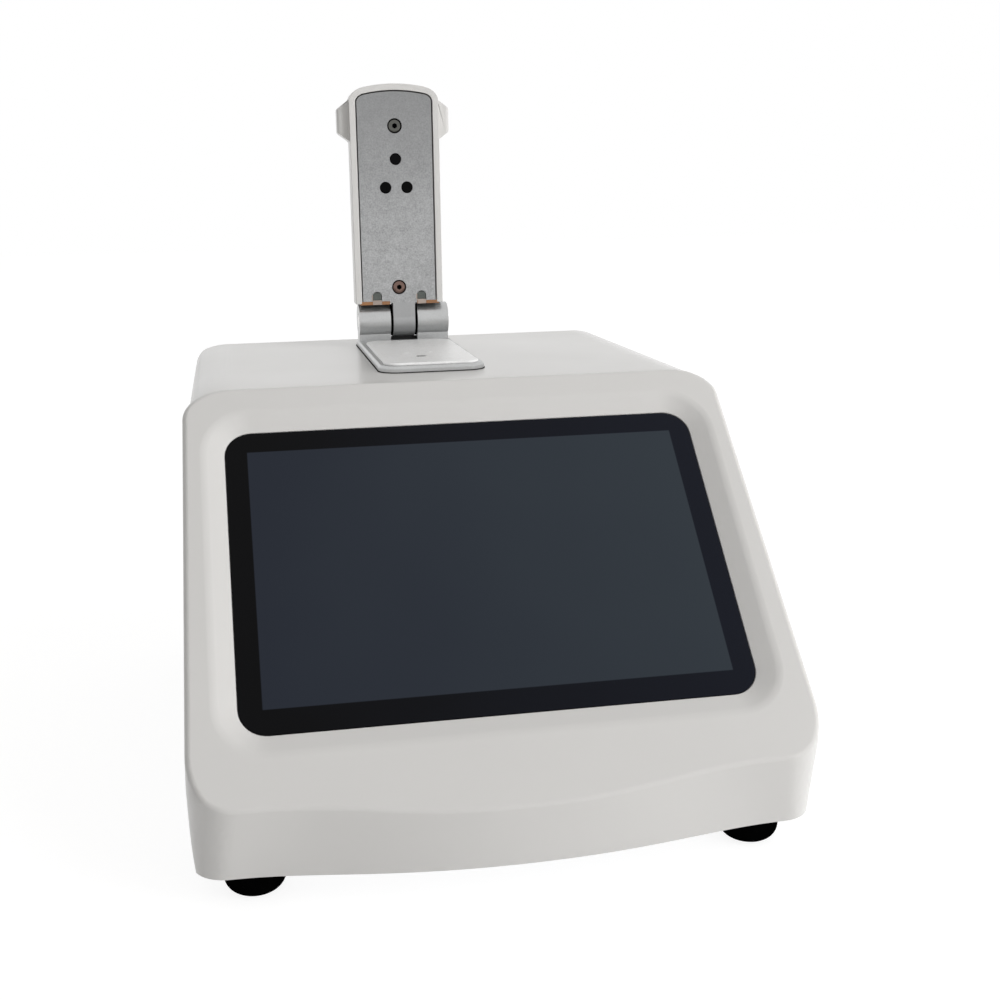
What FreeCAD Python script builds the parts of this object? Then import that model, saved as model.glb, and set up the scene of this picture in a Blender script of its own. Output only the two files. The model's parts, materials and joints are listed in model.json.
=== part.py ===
"""Micro-volume spectrophotometer with a sloped touch screen and a hinged measuring arm.

Millimetres. X runs to the right, Y to the back, Z up. The origin lies on the floor, under the
middle of the instrument's bounding box.
"""
import math
import os

import FreeCAD
import Part
from FreeCAD import Placement, Rotation, Vector

os.makedirs("parts", exist_ok=True)

# Directions
RIGHT = (1, 0, 0)
BACK = (0, 1, 0)
FORWARD = (0, -1, 0)
UP = (0, 0, 1)
DOWN = (0, 0, -1)

# Shared by every round corner and every cutter
corner_handle = 0.55
over_cut = 1.0
small = 0.01
slot_round = 0.498
through = 20.0

# Body as a whole
body_depth = 371.0
base_height = 14.5
skirt_height = 40.5
slope_angle = 45.0
wall = 3.0
seam_gap = 0.3

# Bezel beside and below the glass, and how the sides draw in under and over the belt
bezel_side = 23.7
bezel_bottom = 30.0
base_draft = 0.3
deck_draft = 3.7
rear_step = 2.5

# Plan of the front wall, which bows forward in the middle. Setbacks are from the front of the whole.
nose_setback = 9.64
base_setback = 19.44
base_bow = 13.0
base_spread = 0.28
belt_setback = 5.74
belt_bow = 8.2
belt_spread = 0.42
plan_corner = 22.0
base_corner = 16.0

# Round shoulders along the deck, as run out across and down
front_shoulder_width = 24.0
front_shoulder_height = 13.0
rear_shoulder_width = 23.0
rear_shoulder_height = 14.0
rear_round = 12.0
rear_corner = 18.0

# Front cover
bezel_thickness = 3.5
nose_rise = 14.0
bezel_edge_round = 3.0

# Touch screen, measured down the slope from its top edge
glass_width = 238.4
glass_height = 158.8
glass_corner = 13.0
glass_thickness = 1.8
glass_top = 24.3
glass_clearance = 0.3
recess_depth = 4.5
recess_margin = 10.3
lip_width = 3.5
lip_thickness = 1.6
well_wall = 7.0
gasket_thickness = 0.4
lcd_border = 5.5
lcd_corner = 8.0
lcd_thickness = 4.5
bracket_thickness = 1.2
bracket_margin = 3.0
bracket_window_side = 10.2
bracket_window_end = 24.0
bracket_corner = 6.0
tablet_board_width = 176.0
tablet_board_height = 92.0
tablet_board_gap = 5.0
tablet_chips = ((-52.0, 12.0), (-26.0, -10.0), (10.0, 16.0), (62.0, -18.0))
board_thickness = 1.6
spreader_width = 92.0
spreader_height = 58.0
spreader_thickness = 2.4
spreader_x = -20.0
spreader_fin = 1.6
spreader_fin_depth = 2.4
spreader_fins = 9

# Feet
foot_radius = 14.0
foot_side_inset = 26.9
foot_front_inset = 37.5
foot_rear_inset = 33.5
foot_round = 7.0
foot_facets = 5
foot_recess_radius = 5.0
foot_recess_depth = 4.0
foot_screw_radius = 2.0
foot_screw_head_radius = 4.0
foot_screw_head_height = 2.4
foot_screw_length = 12.0

# Base tray
tray_thickness = 2.0
tray_lift = 1.0
tray_clearance = 0.4
tray_flange = 9.0
tray_front_gap = 1.0
tray_slots = 9
tray_slot_width = 4.0
tray_slot_length = 46.0
tray_slot_pitch = 10.0
tray_slot_inset = 125.5
tray_screw_radius = 1.5
tray_screw_head = 2.9
tray_screw_head_height = 1.8
tray_screw_length = 9.0
boss_radius = 4.5
rear_boss_height = 16.0
rear_boss_side_inset = 17.6
rear_boss_end_inset = 67.5
nose_boss_x = 66.0
nose_boss_inset = 27.5
nut_radius = 5.0
nut_height = 3.5

# Rear face
panel_width = 176.0
panel_height = 60.0
panel_thickness = 2.0
panel_rise = 22.5
panel_lap = 5.0
panel_corner = 6.0
panel_screw_radius = 1.5
panel_screw_head = 2.9
panel_screw_head_height = 1.6
panel_screw_length = 7.0
vent_count = 13
vent_pitch = 9.0
vent_width = 3.4
vent_height = 34.0
vent_drop = 46.7
switch_x = -58.0
switch_width = 21.0
switch_height = 15.0
switch_depth = 18.0
switch_flange = 2.0
switch_flange_thickness = 1.6
terminal_thickness = 0.8
terminal_height = 4.8
terminal_length = 6.0
rocker_gap = 1.0
rocker_tilt = 9.0
rocker_rise = 0.2
rocker_axis_depth = 4.0
rocker_valley = 1.1
rocker_root = 1.5
rocker_draft = 1.2
rocker_pivot_radius = 1.2
rocker_pivot_length = 1.0
rocker_pivot_clearance = 0.05
inlet_x = -24.0
inlet_radius = 5.8
inlet_bore = 3.2
inlet_pin_radius = 1.1
inlet_nut_radius = 8.2
inlet_nut_thickness = 1.6
inlet_rim = 0.4
inlet_floor = 3.0
inlet_length = 14.0
usb_x = 24.0
usb_pitch = 26.0
usb_width = 14.5
usb_height = 7.2
usb_depth = 17.0
usb_shell = 0.6
usb_tongue = 2.0
usb_tongue_width = 10.9
usb_floor = 3.0
usb_rise = 0.8

# Hinge on the deck
arm_x = -8.5
hinge_shift = 2.7
hinge_inset = 13.8
hinge_rise = 15.8
barrel_radius = 10.3
barrel_span = 56.0
centre_barrel = 13.8
barrel_gap = 1.5
pin_radius = 3.0
pin_clearance = 0.05
pin_head_radius = 4.2
pin_head_depth = 1.6
bush_radius = 5.2
bush_length = 15.0
saddle_depth = 13.0
saddle_drop = 5.7

# Foot plate and sample plate
plate_width = 58.5
plate_length = 142.5
plate_shift = -2.42
plate_thickness = 3.6
plate_corner = 11.0
plate_chamfer = 1.2
sample_margin = 3.2
sample_thickness = 1.4
sample_back_inset = 32.0
sample_corner = 7.8
sample_chamfer = 0.6
plate_screw_radius = 2.0
plate_screw_head = 3.6
plate_screw_head_height = 2.0
plate_screw_inset = 12.0
plate_screw_length = 9.0
screw_sink = 0.1
locator_radius = 1.9
locator_rise = 0.25

# Measuring arm, standing open. Heights are above the hinge axis.
arm_width = 54.5
arm_depth = 19.0
arm_low = 11.2
arm_crown = 142.8
arm_crown_corner = 9.0
arm_arch = 1.9
arm_wall = 3.8
arm_back_wall = 2.4
arm_back_round = 6.0
arm_boss_radius = 4.5
arm_plate_gap = 0.7
arm_plate_thickness = 2.6
arm_plate_sink = 0.4
notch_offset = 13.9
notch_width = 5.7
notch_height = 7.3
leaf_thickness = 1.4
leaf_drop = 0.5
leaf_height = 30.0
grip_out = 7.0
grip_root_low = 109.5
grip_root_high = 133.7
grip_tip_low = 114.6
grip_tip_high = 128.5
grip_front = 5.0
grip_depth = 11.0
grip_round = 2.0
upper_screw_height = 118.1
lower_screw_height = 21.1
arm_screw_head = 4.4
arm_screw_head_height = 2.2
arm_screw_radius = 2.0
arm_screw_length = 11.0
arm_screw_socket = 1.5
socket_depth = 1.2
window_height = 98.5
window_radius = 3.5
window_length = 8.0
bumper_height = 81.6
bumper_offset = 6.6
bumper_radius = 3.5
bumper_length = 3.0
fibre_block_width = 22.0
fibre_block_height = 22.0
fibre_block_depth = 6.0

# Pedestal and its path-length drive, under the deck
pedestal_radius = 3.0
pedestal_clearance = 0.05
pedestal_bore = 1.0
pedestal_bush_radius = 5.5
pedestal_bush_drop = 8.0
pedestal_lift = 0.7
carriage_width = 34.0
carriage_depth = 18.0
carriage_height = 10.0
carriage_drop = 24.0
carriage_grip = 8.0
screw_offset = 12.0
screw_radius = 2.0
screw_clearance = 0.05
screw_above = 6.0
motor_radius = 10.0
motor_height = 18.0
motor_drop = 52.0
motor_flange_width = 16.0
motor_bore = 4.0
motor_bore_end = 0.3
motor_flange_thickness = 1.5
cage_depth = 22.0
cage_sheet = 2.0
cage_ear = 9.0
carriage_clearance = 0.15

# Spectrometer, lamp and boards on the tray
bench_width = 104.0
bench_depth = 62.0
bench_height = 44.0
bench_shift = -39.5
fibre_run = 37.3
bench_foot = 4.0
bench_lid = 3.0
bench_wall = 5.0
bench_rib = 3.0
bench_rib_height = 35.0
detector_width = 46.0
detector_height = 26.0
detector_chip_width = 28.0
detector_chip_height = 8.0
detector_clearance = 0.4
grating_size = 24.0
grating_radius = 60.0
grating_dish = 2.0
fibre_radius = 1.6
fibre_bend = 26.0
ferrule_radius = 4.0
ferrule_length = 9.0
ferrule_collar = 1.5
ferrule_collar_length = 3.0
lamp_width = 50.0
lamp_depth = 46.0
lamp_height = 34.0
lamp_shift = -61.5
lamp_ahead = 42.7
lamp_window_radius = 7.0
lamp_fins = 5
lamp_fin_depth = 3.0
lamp_fin_height = 27.0
lamp_window_length = 3.0
board_width = 92.0
board_depth = 118.0
board_side_inset = 24.6
board_behind = 19.3
standoff_height = 8.0
standoff_radius = 3.0
standoff_inset = 6.0
chip_size = 16.0
chip_height = 2.0
coil_radius = 6.0
coil_height = 9.0
cap_radius = 4.5
cap_height = 13.0
cap_count = 3
cap_pitch = 13.0
cap_row_x = 30.0
cap_row_y = -40.0
coil_x = 28.0
coil_y = 26.0
control_chips = ((-24.0, -30.0), (8.0, -8.0), (-20.0, 22.0))
socket_width = 30.0
socket_size = 8.0

# Worked out from the sizes above
front_y = -body_depth / 2
rear_y = body_depth / 2
belt_half_width = glass_width / 2 + bezel_side
belt_height = base_height + skirt_height
nose_height = belt_height + nose_rise
panel_low = base_height + panel_rise
hinge_x = arm_x + hinge_shift
base_half_width = belt_half_width - base_draft
deck_half_width = belt_half_width - deck_draft
base_front = front_y + base_setback
belt_front = front_y + belt_setback
slope_tan = math.tan(math.radians(slope_angle))
slope_cos = math.cos(math.radians(slope_angle))
slope_length = glass_top + glass_height + bezel_bottom
deck_height = belt_height + slope_length * slope_cos * slope_tan
deck_front = front_y + nose_setback + slope_length * slope_cos
slope_origin = Vector(0, deck_front, deck_height)
slope_place = Placement(slope_origin, Rotation(Vector(1, 0, 0), slope_angle))
plate_middle = (deck_front + rear_y) / 2 + plate_shift
plate_front = plate_middle - plate_length / 2
plate_back = plate_middle + plate_length / 2
sample_back = plate_back - sample_back_inset
hinge_y = plate_back - hinge_inset
hinge_z = deck_height + hinge_rise
arm_face = hinge_y - barrel_radius
glass_mid = -glass_top - glass_height / 2
glass_face = -recess_depth
glass_back = glass_face - glass_thickness
lip_face = glass_back - gasket_thickness
lip_back = lip_face - lip_thickness
lcd_back = glass_back - lcd_thickness
bracket_back = lcd_back - bracket_thickness
tray_low = base_height + tray_lift
tray_top = tray_low + tray_thickness
plate_top = deck_height + plate_thickness
sample_top = plate_top + sample_thickness
pedestal_y = hinge_y - window_height
wall_inner_z = deck_height - wall
carriage_top = deck_height - carriage_drop
motor_top = deck_height - motor_drop
panel_back = rear_y - wall
port_height_z = panel_low + panel_height / 2
vent_low = deck_height - vent_drop - vent_height
foot_x = base_half_width - foot_side_inset
foot_front_y = front_y + foot_front_inset
foot_rear_y = rear_y - foot_rear_inset
rear_boss_x = base_half_width - rear_boss_side_inset
nose_boss_y = front_y + nose_boss_inset
tray_slot_y = front_y + tray_slot_inset
bench_x = arm_x + bench_shift
bench_y = pedestal_y + fibre_run + bench_depth / 2
lamp_x = arm_x + lamp_shift
lamp_y = pedestal_y - lamp_ahead
board_x = base_half_width - board_side_inset - board_width / 2
board_y = pedestal_y + board_behind


def box(width, depth, height, centre, low):
    """A block centred on (x, y), standing on height low."""
    corner = Vector(centre[0] - width / 2, centre[1] - depth / 2, low)
    return Part.makeBox(width, depth, height, corner)


def rod(radius, length, start, direction):
    return Part.makeCylinder(radius, length, Vector(*start), Vector(*direction))


def joined(shapes):
    """All the shapes as one solid."""
    return shapes[0].multiFuse(shapes[1:]).removeSplitter()


def on_pedestal(z):
    return (arm_x, pedestal_y, z)


def on_drive(z):
    return (arm_x + screw_offset, pedestal_y, z)


def bezier(points):
    curve = Part.BezierCurve()
    curve.setPoles([Vector(*point) for point in points])
    return curve.toShape()


def soft_corner(start, corner, end):
    """A round corner that leaves both sides along them."""
    start = Vector(*start)
    corner = Vector(*corner)
    end = Vector(*end)
    first = start + (corner - start) * corner_handle
    second = end + (corner - end) * corner_handle
    return [bezier([start, first, second, end])]


def tangent_arc(start, apex, end):
    """The arc between two points whose tangents meet at the apex."""
    middle = (start + end) / 2
    half = (end - start).Length / 2
    rise = apex - middle
    sagitta = half * math.tan(math.atan2(rise.Length, half) / 2)
    return Part.Arc(start, middle + rise.normalize() * sagitta, end).toShape()


def arc_corner(start, corner, end):
    """Two arcs that round a corner, leave both sides along them and meet smoothly."""
    start = Vector(*start)
    corner = Vector(*corner)
    end = Vector(*end)
    first = (corner - start).normalize()
    last = (end - corner).normalize()
    chord = end - start
    turn = 1 - first.dot(last)
    along = chord.dot(first + last)
    reach = (math.sqrt(along * along + 2 * turn * chord.dot(chord)) - along) / (2 * turn)
    near = start + first * reach
    far = end - last * reach
    meeting = (near + far) / 2
    return [tangent_arc(start, near, meeting), tangent_arc(meeting, far, end)]


def line(start, end):
    return Part.makeLine(Vector(*start), Vector(*end))


def rounded_wire(width, height, radius, centre_y=0.0, level=0.0):
    """A rectangle with round corners in the plane of X and Y."""
    x = width / 2
    y = height / 2
    inner_x = x - radius
    inner_y = y - radius
    edges = []
    corners = ((1, 1), (-1, 1), (-1, -1), (1, -1))
    for index, (side_x, side_y) in enumerate(corners):
        middle = Vector(side_x * inner_x, centre_y + side_y * inner_y, level)
        start = 90.0 * index
        circle = Part.makeCircle(radius, middle, Vector(0, 0, 1), start, start + 90)
        edges.append(circle)
    ring = []
    for index, arc in enumerate(edges):
        following = edges[(index + 1) % 4]
        ring.append(arc)
        ring.append(Part.makeLine(arc.Vertexes[-1].Point, following.Vertexes[0].Point))
    return Part.Wire(Part.__sortEdges__(ring))


def rounded_block(width, height, radius, low, high, centre_y=0.0):
    """A block with round corners between two levels of its own Z."""
    face = Part.Face(rounded_wire(width, height, radius, centre_y, low))
    return face.extrude(Vector(0, 0, high - low))


def on_slope(shape):
    """Lays a shape built flat onto the sloped face: its Y runs up the slope, its Z out of it."""
    placed = shape.copy()
    placed.Placement = slope_place.multiply(placed.Placement)
    return placed


def side_prism(points, width):
    """A profile of (y, z) points, extended across the body."""
    wire = Part.makePolygon([Vector(-width / 2, y, z) for y, z in points + points[:1]])
    return Part.Face(wire).extrude(Vector(width, 0, 0))


def slope_y(height, depth=0.0):
    """Where the sloped face, or a plane at a depth under it, meets a height."""
    return deck_front - (deck_height - height) / slope_tan + depth / slope_cos


def under_slope(depth=0.0):
    """Everything under the sloped face, less a depth."""
    reach = 2 * body_depth
    low = -body_depth
    high = deck_height + body_depth
    points = [(slope_y(low, depth), low), (slope_y(high, depth), high), (reach, high), (reach, low)]
    return side_prism(points, reach)


def front_zone(gap=0.0):
    """The room that belongs to the front cover: the bezel's thickness and the nose."""
    reach = 2 * body_depth
    turn_y = slope_y(nose_height, bezel_thickness + gap * slope_cos)
    high = deck_height + body_depth
    points = [(turn_y, -reach), (turn_y, nose_height)]
    points += [(slope_y(high, bezel_thickness + gap * slope_cos), high), (-reach, high), (-reach, -reach)]
    return side_prism(points, reach)


def plan_wire(half_width, front, bow, corner, height, spread):
    """The body's plan at one height, with the front edge bowed forward."""
    inner = half_width - corner
    side = front + corner
    middle = front - bow
    soft = inner * spread
    edges = soft_corner((-half_width, side, height), (-half_width, front, height), (-inner, front, height))
    edges += [
        bezier([(-inner, front, height), (-inner + soft, front, height),
                (-inner / 2, middle, height), (0, middle, height)]),
        bezier([(0, middle, height), (inner / 2, middle, height),
                (inner - soft, front, height), (inner, front, height)]),
    ]
    edges += soft_corner((inner, front, height), (half_width, front, height), (half_width, side, height))
    edges += [
        line((half_width, side, height), (half_width, rear_y, height)),
        line((half_width, rear_y, height), (-half_width, rear_y, height)),
        line((-half_width, rear_y, height), (-half_width, side, height)),
    ]
    return Part.Wire(edges)


def nose_block(inset=0.0):
    """The drafted lower body between the base and the belt."""
    low = plan_wire(base_half_width - inset, base_front + inset, base_bow, base_corner - inset,
                    base_height, base_spread)
    high = plan_wire(belt_half_width - inset, belt_front + inset, belt_bow, plan_corner - inset,
                     belt_height, belt_spread)
    return Part.makeLoft([low, high], True, True)


def section_wire(low_points, half_width, shoulder_width, shoulder_height, top, y, corner):
    """The upper body across its width, with round shoulders."""
    flat = half_width - shoulder_width
    spring = top - shoulder_height
    left = [(-x, y, z) for x, z in low_points] + [(-half_width, y, spring)]
    right = [(x, y, z) for x, z in low_points] + [(half_width, y, spring)]
    last_x, last_z = low_points[-1]
    tip = half_width - (last_x - half_width) / (spring - last_z) * shoulder_height
    edges = [line(right[0], left[0])]
    edges += [line(a, b) for a, b in zip(left, left[1:])]
    edges += corner(left[-1], (-tip, y, top), (-flat, y, top))
    edges.append(line((-flat, y, top), (flat, y, top)))
    edges += corner((flat, y, top), (tip, y, top), right[-1])
    edges += [line(b, a) for a, b in reversed(list(zip(right, right[1:])))]
    return Part.Wire(edges)


def upper_block():
    """The body above the belt, as wide as the front cover."""
    wire = section_wire([(belt_half_width, belt_height)], deck_half_width,
                        front_shoulder_width, front_shoulder_height, deck_height, front_y, soft_corner)
    block = Part.Face(wire).extrude(Vector(0, body_depth, 0))
    taper = (belt_half_width - deck_half_width) / (deck_height - front_shoulder_height - belt_height)
    top_half_width = belt_half_width - taper * (deck_height - belt_height)
    low = plan_wire(belt_half_width, belt_front, belt_bow, plan_corner, belt_height, belt_spread)
    high = plan_wire(top_half_width, belt_front, belt_bow, plan_corner, deck_height, belt_spread)
    return block.common(Part.makeLoft([low, high], True, True))


def edges_on_face(shape):
    """The edges of a body that lie on the sloped face."""
    flat = slope_place.inverse()
    found = []
    for edge in shape.Edges:
        heights = [flat.multVec(edge.valueAt(value)).z for value in
                   (edge.FirstParameter, (edge.FirstParameter + edge.LastParameter) / 2, edge.LastParameter)]
        if max(abs(height) for height in heights) < small:
            found.append(edge)
    return found


def recess():
    """The dished surround that falls from the bezel's face to the glass."""
    outer = rounded_wire(glass_width + 2 * recess_margin, glass_height + 2 * recess_margin,
                         glass_corner + recess_margin, glass_mid, 0.0)
    inner = rounded_wire(glass_width + 2 * glass_clearance, glass_height + 2 * glass_clearance,
                         glass_corner + glass_clearance, glass_mid, glass_face)
    return on_slope(Part.makeLoft([inner, outer], True, True))


def glass_outline(grow, low, high):
    """The glass's outline, grown or shrunk, as a block between two depths under the face."""
    return rounded_block(glass_width + 2 * grow, glass_height + 2 * grow, glass_corner + grow,
                         low, high, glass_mid)


def front_cover():
    """Bezel, dished recess, well for the glass, and the nose with its bowed front wall."""
    body = nose_block().fuse(upper_block()).common(under_slope())
    body = body.removeSplitter()
    body = body.makeFillet(bezel_edge_round, edges_on_face(body)).common(front_zone())
    hollow = nose_block(wall)
    floor_cut = hollow.common(under_slope(bezel_thickness))
    shell = body.cut(floor_cut)
    well = on_slope(glass_outline(glass_clearance + well_wall, lip_back, -bezel_thickness / 2))
    shell = joined([shell, well])
    shell = shell.cut(recess())
    seat = glass_outline(glass_clearance, lip_face, glass_face + over_cut / 2)
    shell = shell.cut(on_slope(seat))
    opening = on_slope(glass_outline(-lip_width, lip_back - over_cut, lip_face + over_cut))
    shell = shell.cut(opening)
    bosses = [rod(boss_radius, nose_height, (x, y, tray_top), UP).common(under_slope(recess_depth))
              for x, y in nose_boss_places()]
    shell = joined([shell] + bosses)
    for x, y in nose_boss_places():
        shell = shell.cut(rod(tray_screw_radius, tray_screw_length, (x, y, tray_low), UP))
    return shell.removeSplitter()


def plan_block(half_width, inset, low, high):
    """The rear cover's plan, with round rear corners, between two heights."""
    rear = rounded_block(2 * half_width, 2 * (rear_y - inset), rear_corner - inset, low, high)
    front_half = box(2 * half_width, body_depth / 2, high - low, (0, front_y / 2), low)
    return joined([rear, front_half])


def rear_block(inset=0.0):
    """The rear cover's outside, or its inside at a wall's depth."""
    shoulder_width = rear_shoulder_width - inset
    shoulder_height = rear_shoulder_height - inset
    half = deck_half_width - rear_step - inset
    low_points = [(base_half_width - rear_step - inset, base_height),
                  (belt_half_width - rear_step - inset, belt_height)]
    wire = section_wire(low_points, half, shoulder_width, shoulder_height, deck_height - inset, front_y,
                        arc_corner)
    long_block = Part.Face(wire).extrude(Vector(0, body_depth - inset, 0))
    round_size = rear_round - inset
    top = deck_height - inset
    rear = rear_y - inset
    x = -belt_half_width
    edges = [
        line((x, front_y, base_height), (x, rear, base_height)),
        line((x, rear, base_height), (x, rear, top - round_size)),
    ]
    edges += arc_corner((x, rear, top - round_size), (x, rear, top), (x, rear - round_size, top))
    edges += [
        line((x, rear - round_size, top), (x, front_y, top)),
        line((x, front_y, top), (x, front_y, base_height)),
    ]
    profile = Part.Face(Part.Wire(edges)).extrude(Vector(2 * belt_half_width, 0, 0))
    plan = plan_block(belt_half_width - rear_step - inset, inset, base_height, deck_height)
    return long_block.common(profile).common(plan)


def vent_cuts():
    """Upright slots in the rear wall."""
    cuts = []
    for index in range(vent_count):
        x = (index - (vent_count - 1) / 2) * vent_pitch
        slot = rounded_block(vent_width, vent_height, vent_width * slot_round, 0, 4 * wall)
        slot.Placement = Placement(Vector(x, rear_y + wall, vent_low + vent_height / 2),
                                   Rotation(Vector(1, 0, 0), 90))
        cuts.append(slot)
    return cuts


def panel_outline(grow, low_y, high_y):
    """The rear panel's outline as an upright block between two depths."""
    block = rounded_block(panel_width + 2 * grow, panel_height + 2 * grow, panel_corner, 0, high_y - low_y)
    middle = Vector(0, high_y, panel_low + panel_height / 2)
    block.Placement = Placement(middle, Rotation(Vector(1, 0, 0), 90))
    return block


def rear_cover():
    """Deck, sides and rear wall, with vents, the rear window and the holes for the pedestal."""
    shell = rear_block().cut(rear_block(wall))
    open_front = side_prism([(front_y - wall, 0), (front_y + wall, 0), (front_y + wall, deck_height - wall),
                             (front_y - wall, deck_height - wall)], 2 * (belt_half_width - rear_step - wall))
    bosses = []
    for x, y in rear_boss_places():
        side = math.copysign(1, x)
        post = rod(boss_radius, rear_boss_height, (x, y, tray_top), UP)
        reach = belt_half_width - rear_step - abs(x)
        web_low = tray_low + tray_flange + tray_clearance
        web = box(reach, wall, tray_top + rear_boss_height - web_low, (x + side * reach / 2, y), web_low)
        bosses.append(joined([post, web]).common(rear_block(wall / 2)))
    shell = joined([shell.cut(open_front).cut(front_zone(seam_gap))] + bosses)
    for x, y in rear_boss_places():
        shell = shell.cut(rod(tray_screw_radius, tray_screw_length, (x, y, tray_low), UP))
    shell = shell.cut(panel_outline(-panel_lap, rear_y - 3 * wall, rear_y + wall))
    for slot in vent_cuts():
        shell = shell.cut(slot)
    hole = rod(pedestal_bush_radius + seam_gap, 4 * wall, on_pedestal(deck_height - 2 * wall), UP)
    shell = shell.cut(hole)
    for x, y in plate_screw_places():
        shell = shell.cut(rod(plate_screw_radius, 4 * wall, (x, y, deck_height - 2 * wall), UP))
    return shell.removeSplitter()


def rear_boss_places():
    return [(side * rear_boss_x, y) for side in (-1, 1)
            for y in (front_y + rear_boss_end_inset, rear_y - rear_boss_end_inset)]


def nose_boss_places():
    return [(side * nose_boss_x, nose_boss_y) for side in (-1, 1)]


def tray_screws():
    """Screws from below that hold both covers to the tray."""
    screws = []
    for x, y in rear_boss_places() + nose_boss_places():
        screws.append(pan_screw(tray_screw_head, tray_screw_head_height, tray_screw_radius, tray_screw_length,
                                (x, y, tray_low - tray_screw_head_height), UP))
    return Part.makeCompound(screws)


def base_tray():
    """Pressed floor with turned-up edges and air slots, lying inside both covers."""
    inset = wall + tray_clearance
    half = base_half_width - rear_step - inset
    edge = base_front + inset + tray_front_gap
    front = plan_wire(half, edge, base_bow, base_corner - inset, tray_low, base_spread)
    outer = Part.Face(front).extrude(Vector(0, 0, tray_flange))
    outer = outer.common(plan_block(half, inset, tray_low, tray_low + tray_flange))
    inner_wire = plan_wire(half - tray_thickness, edge + tray_thickness, base_bow,
                           base_corner - inset - tray_thickness, tray_top, base_spread)
    inner = Part.Face(inner_wire).extrude(Vector(0, 0, tray_flange))
    inner = inner.common(plan_block(half - tray_thickness, inset + tray_thickness, tray_top,
                                    tray_top + 2 * tray_flange))
    tray = outer.cut(inner)
    for index in range(tray_slots):
        x = (index - (tray_slots - 1) / 2) * tray_slot_pitch
        slot = rounded_block(tray_slot_width, tray_slot_length, tray_slot_width * slot_round, 0, through)
        slot.translate(Vector(x, tray_slot_y, tray_low - tray_flange))
        tray = tray.cut(slot)
    nuts = [rod(nut_radius, nut_height, (x, y, tray_top), UP) for x, y in foot_places().values()]
    tray = joined([tray] + nuts)
    for x, y in foot_places().values():
        tray = tray.cut(rod(foot_screw_radius, foot_screw_length, (x, y, tray_low - over_cut), UP))
    for x, y in rear_boss_places() + nose_boss_places():
        tray = tray.cut(rod(tray_screw_radius, 4 * tray_thickness, (x, y, tray_low - tray_thickness), UP))
    return tray.removeSplitter()


def foot_places():
    return {
        "foot_front_left": (-foot_x, foot_front_y),
        "foot_front_right": (foot_x, foot_front_y),
        "foot_rear_left": (-foot_x, foot_rear_y),
        "foot_rear_right": (foot_x, foot_rear_y),
    }


def foot(x, y):
    """A turned rubber foot with a rounded rim and a sunk hole for its screw."""
    turns = [math.pi / 2 * step / foot_facets for step in range(foot_facets + 1)]
    rim = [(foot_radius - foot_round * (1 - math.sin(turn)), foot_round * (1 - math.cos(turn)))
           for turn in turns]
    profile = [(foot_recess_radius, 0)] + rim
    profile += [(foot_radius, tray_low), (foot_screw_radius, tray_low),
                (foot_screw_radius, foot_recess_depth), (foot_recess_radius, foot_recess_depth)]
    wire = Part.makePolygon([Vector(reach, 0, z) for reach, z in profile + profile[:1]])
    shape = Part.Face(wire).revolve(Vector(0, 0, 0), Vector(0, 0, 1), 360)
    shape.translate(Vector(x, y, 0))
    return shape


def pan_screw(head_radius, head_height, shank_radius, length, start, direction):
    """A screw whose head's outer face lies at the start and whose shank runs along the direction."""
    head = rod(head_radius, head_height, start, direction)
    tip = Vector(*start) + Vector(*direction) * head_height
    return joined([head, rod(shank_radius, length, tuple(tip), direction)])


def foot_screws():
    low = foot_recess_depth - foot_screw_head_height
    screws = []
    for x, y in foot_places().values():
        screws.append(pan_screw(foot_screw_head_radius, foot_screw_head_height, foot_screw_radius,
                                foot_screw_length, (x, y, low), UP))
    return Part.makeCompound(screws)


def screen_glass():
    return on_slope(glass_outline(0, glass_back, glass_face))


def glass_gasket():
    """The bonding strip between the glass and its lip."""
    ring = glass_outline(0, lip_face, glass_back)
    return on_slope(ring.cut(glass_outline(-lip_width, lip_face - over_cut, glass_back + over_cut)))


def lcd_panel():
    width = glass_width - 2 * lcd_border
    height = glass_height - 2 * lcd_border
    return on_slope(rounded_block(width, height, lcd_corner, lcd_back, glass_back, glass_mid))


def tablet_corners():
    """The four fixing points of the tablet's circuit board."""
    x = tablet_board_width / 2 - standoff_inset
    y = tablet_board_height / 2 - standoff_inset
    return [(side_x * x, glass_mid + side_y * y) for side_x in (-1, 1) for side_y in (-1, 1)]


def display_bracket():
    """The sheet frame round the display, with two rails and four posts for the circuit board."""
    width = glass_width + 2 * bracket_margin
    height = glass_height + 2 * bracket_margin
    opening_width = tablet_board_width + 2 * bracket_window_side
    opening_height = height - 2 * bracket_window_end
    sheet = rounded_block(width, height, bracket_corner, bracket_back, lcd_back, glass_mid)
    sheet = sheet.cut(rounded_block(opening_width, opening_height, bracket_corner, bracket_back - over_cut,
                                    lcd_back + over_cut, glass_mid))
    rim = rounded_block(width, height, bracket_corner, lcd_back, lip_back, glass_mid)
    rim = rim.cut(rounded_block(width - 2 * bracket_margin, height - 2 * bracket_margin, bracket_corner,
                                lcd_back - over_cut, lip_back + over_cut, glass_mid))
    rails = [box(2 * standoff_inset, opening_height + 2 * over_cut, bracket_thickness,
                 (side * (tablet_board_width / 2 - standoff_inset), glass_mid), bracket_back)
             for side in (-1, 1)]
    posts = [rod(standoff_radius, tablet_board_gap, (x, y, bracket_back - tablet_board_gap), UP)
             for x, y in tablet_corners()]
    return on_slope(joined([sheet, rim] + rails + posts))


def tablet_board():
    """The tablet's circuit board with its chips, on four posts behind the bracket."""
    low = bracket_back - tablet_board_gap - board_thickness
    board = box(tablet_board_width, tablet_board_height, board_thickness, (0, glass_mid), low)
    chips = [box(chip_size, chip_size, chip_height, (x, glass_mid + y), low - chip_height)
             for x, y in tablet_chips]
    return on_slope(joined([board] + chips))


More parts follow.
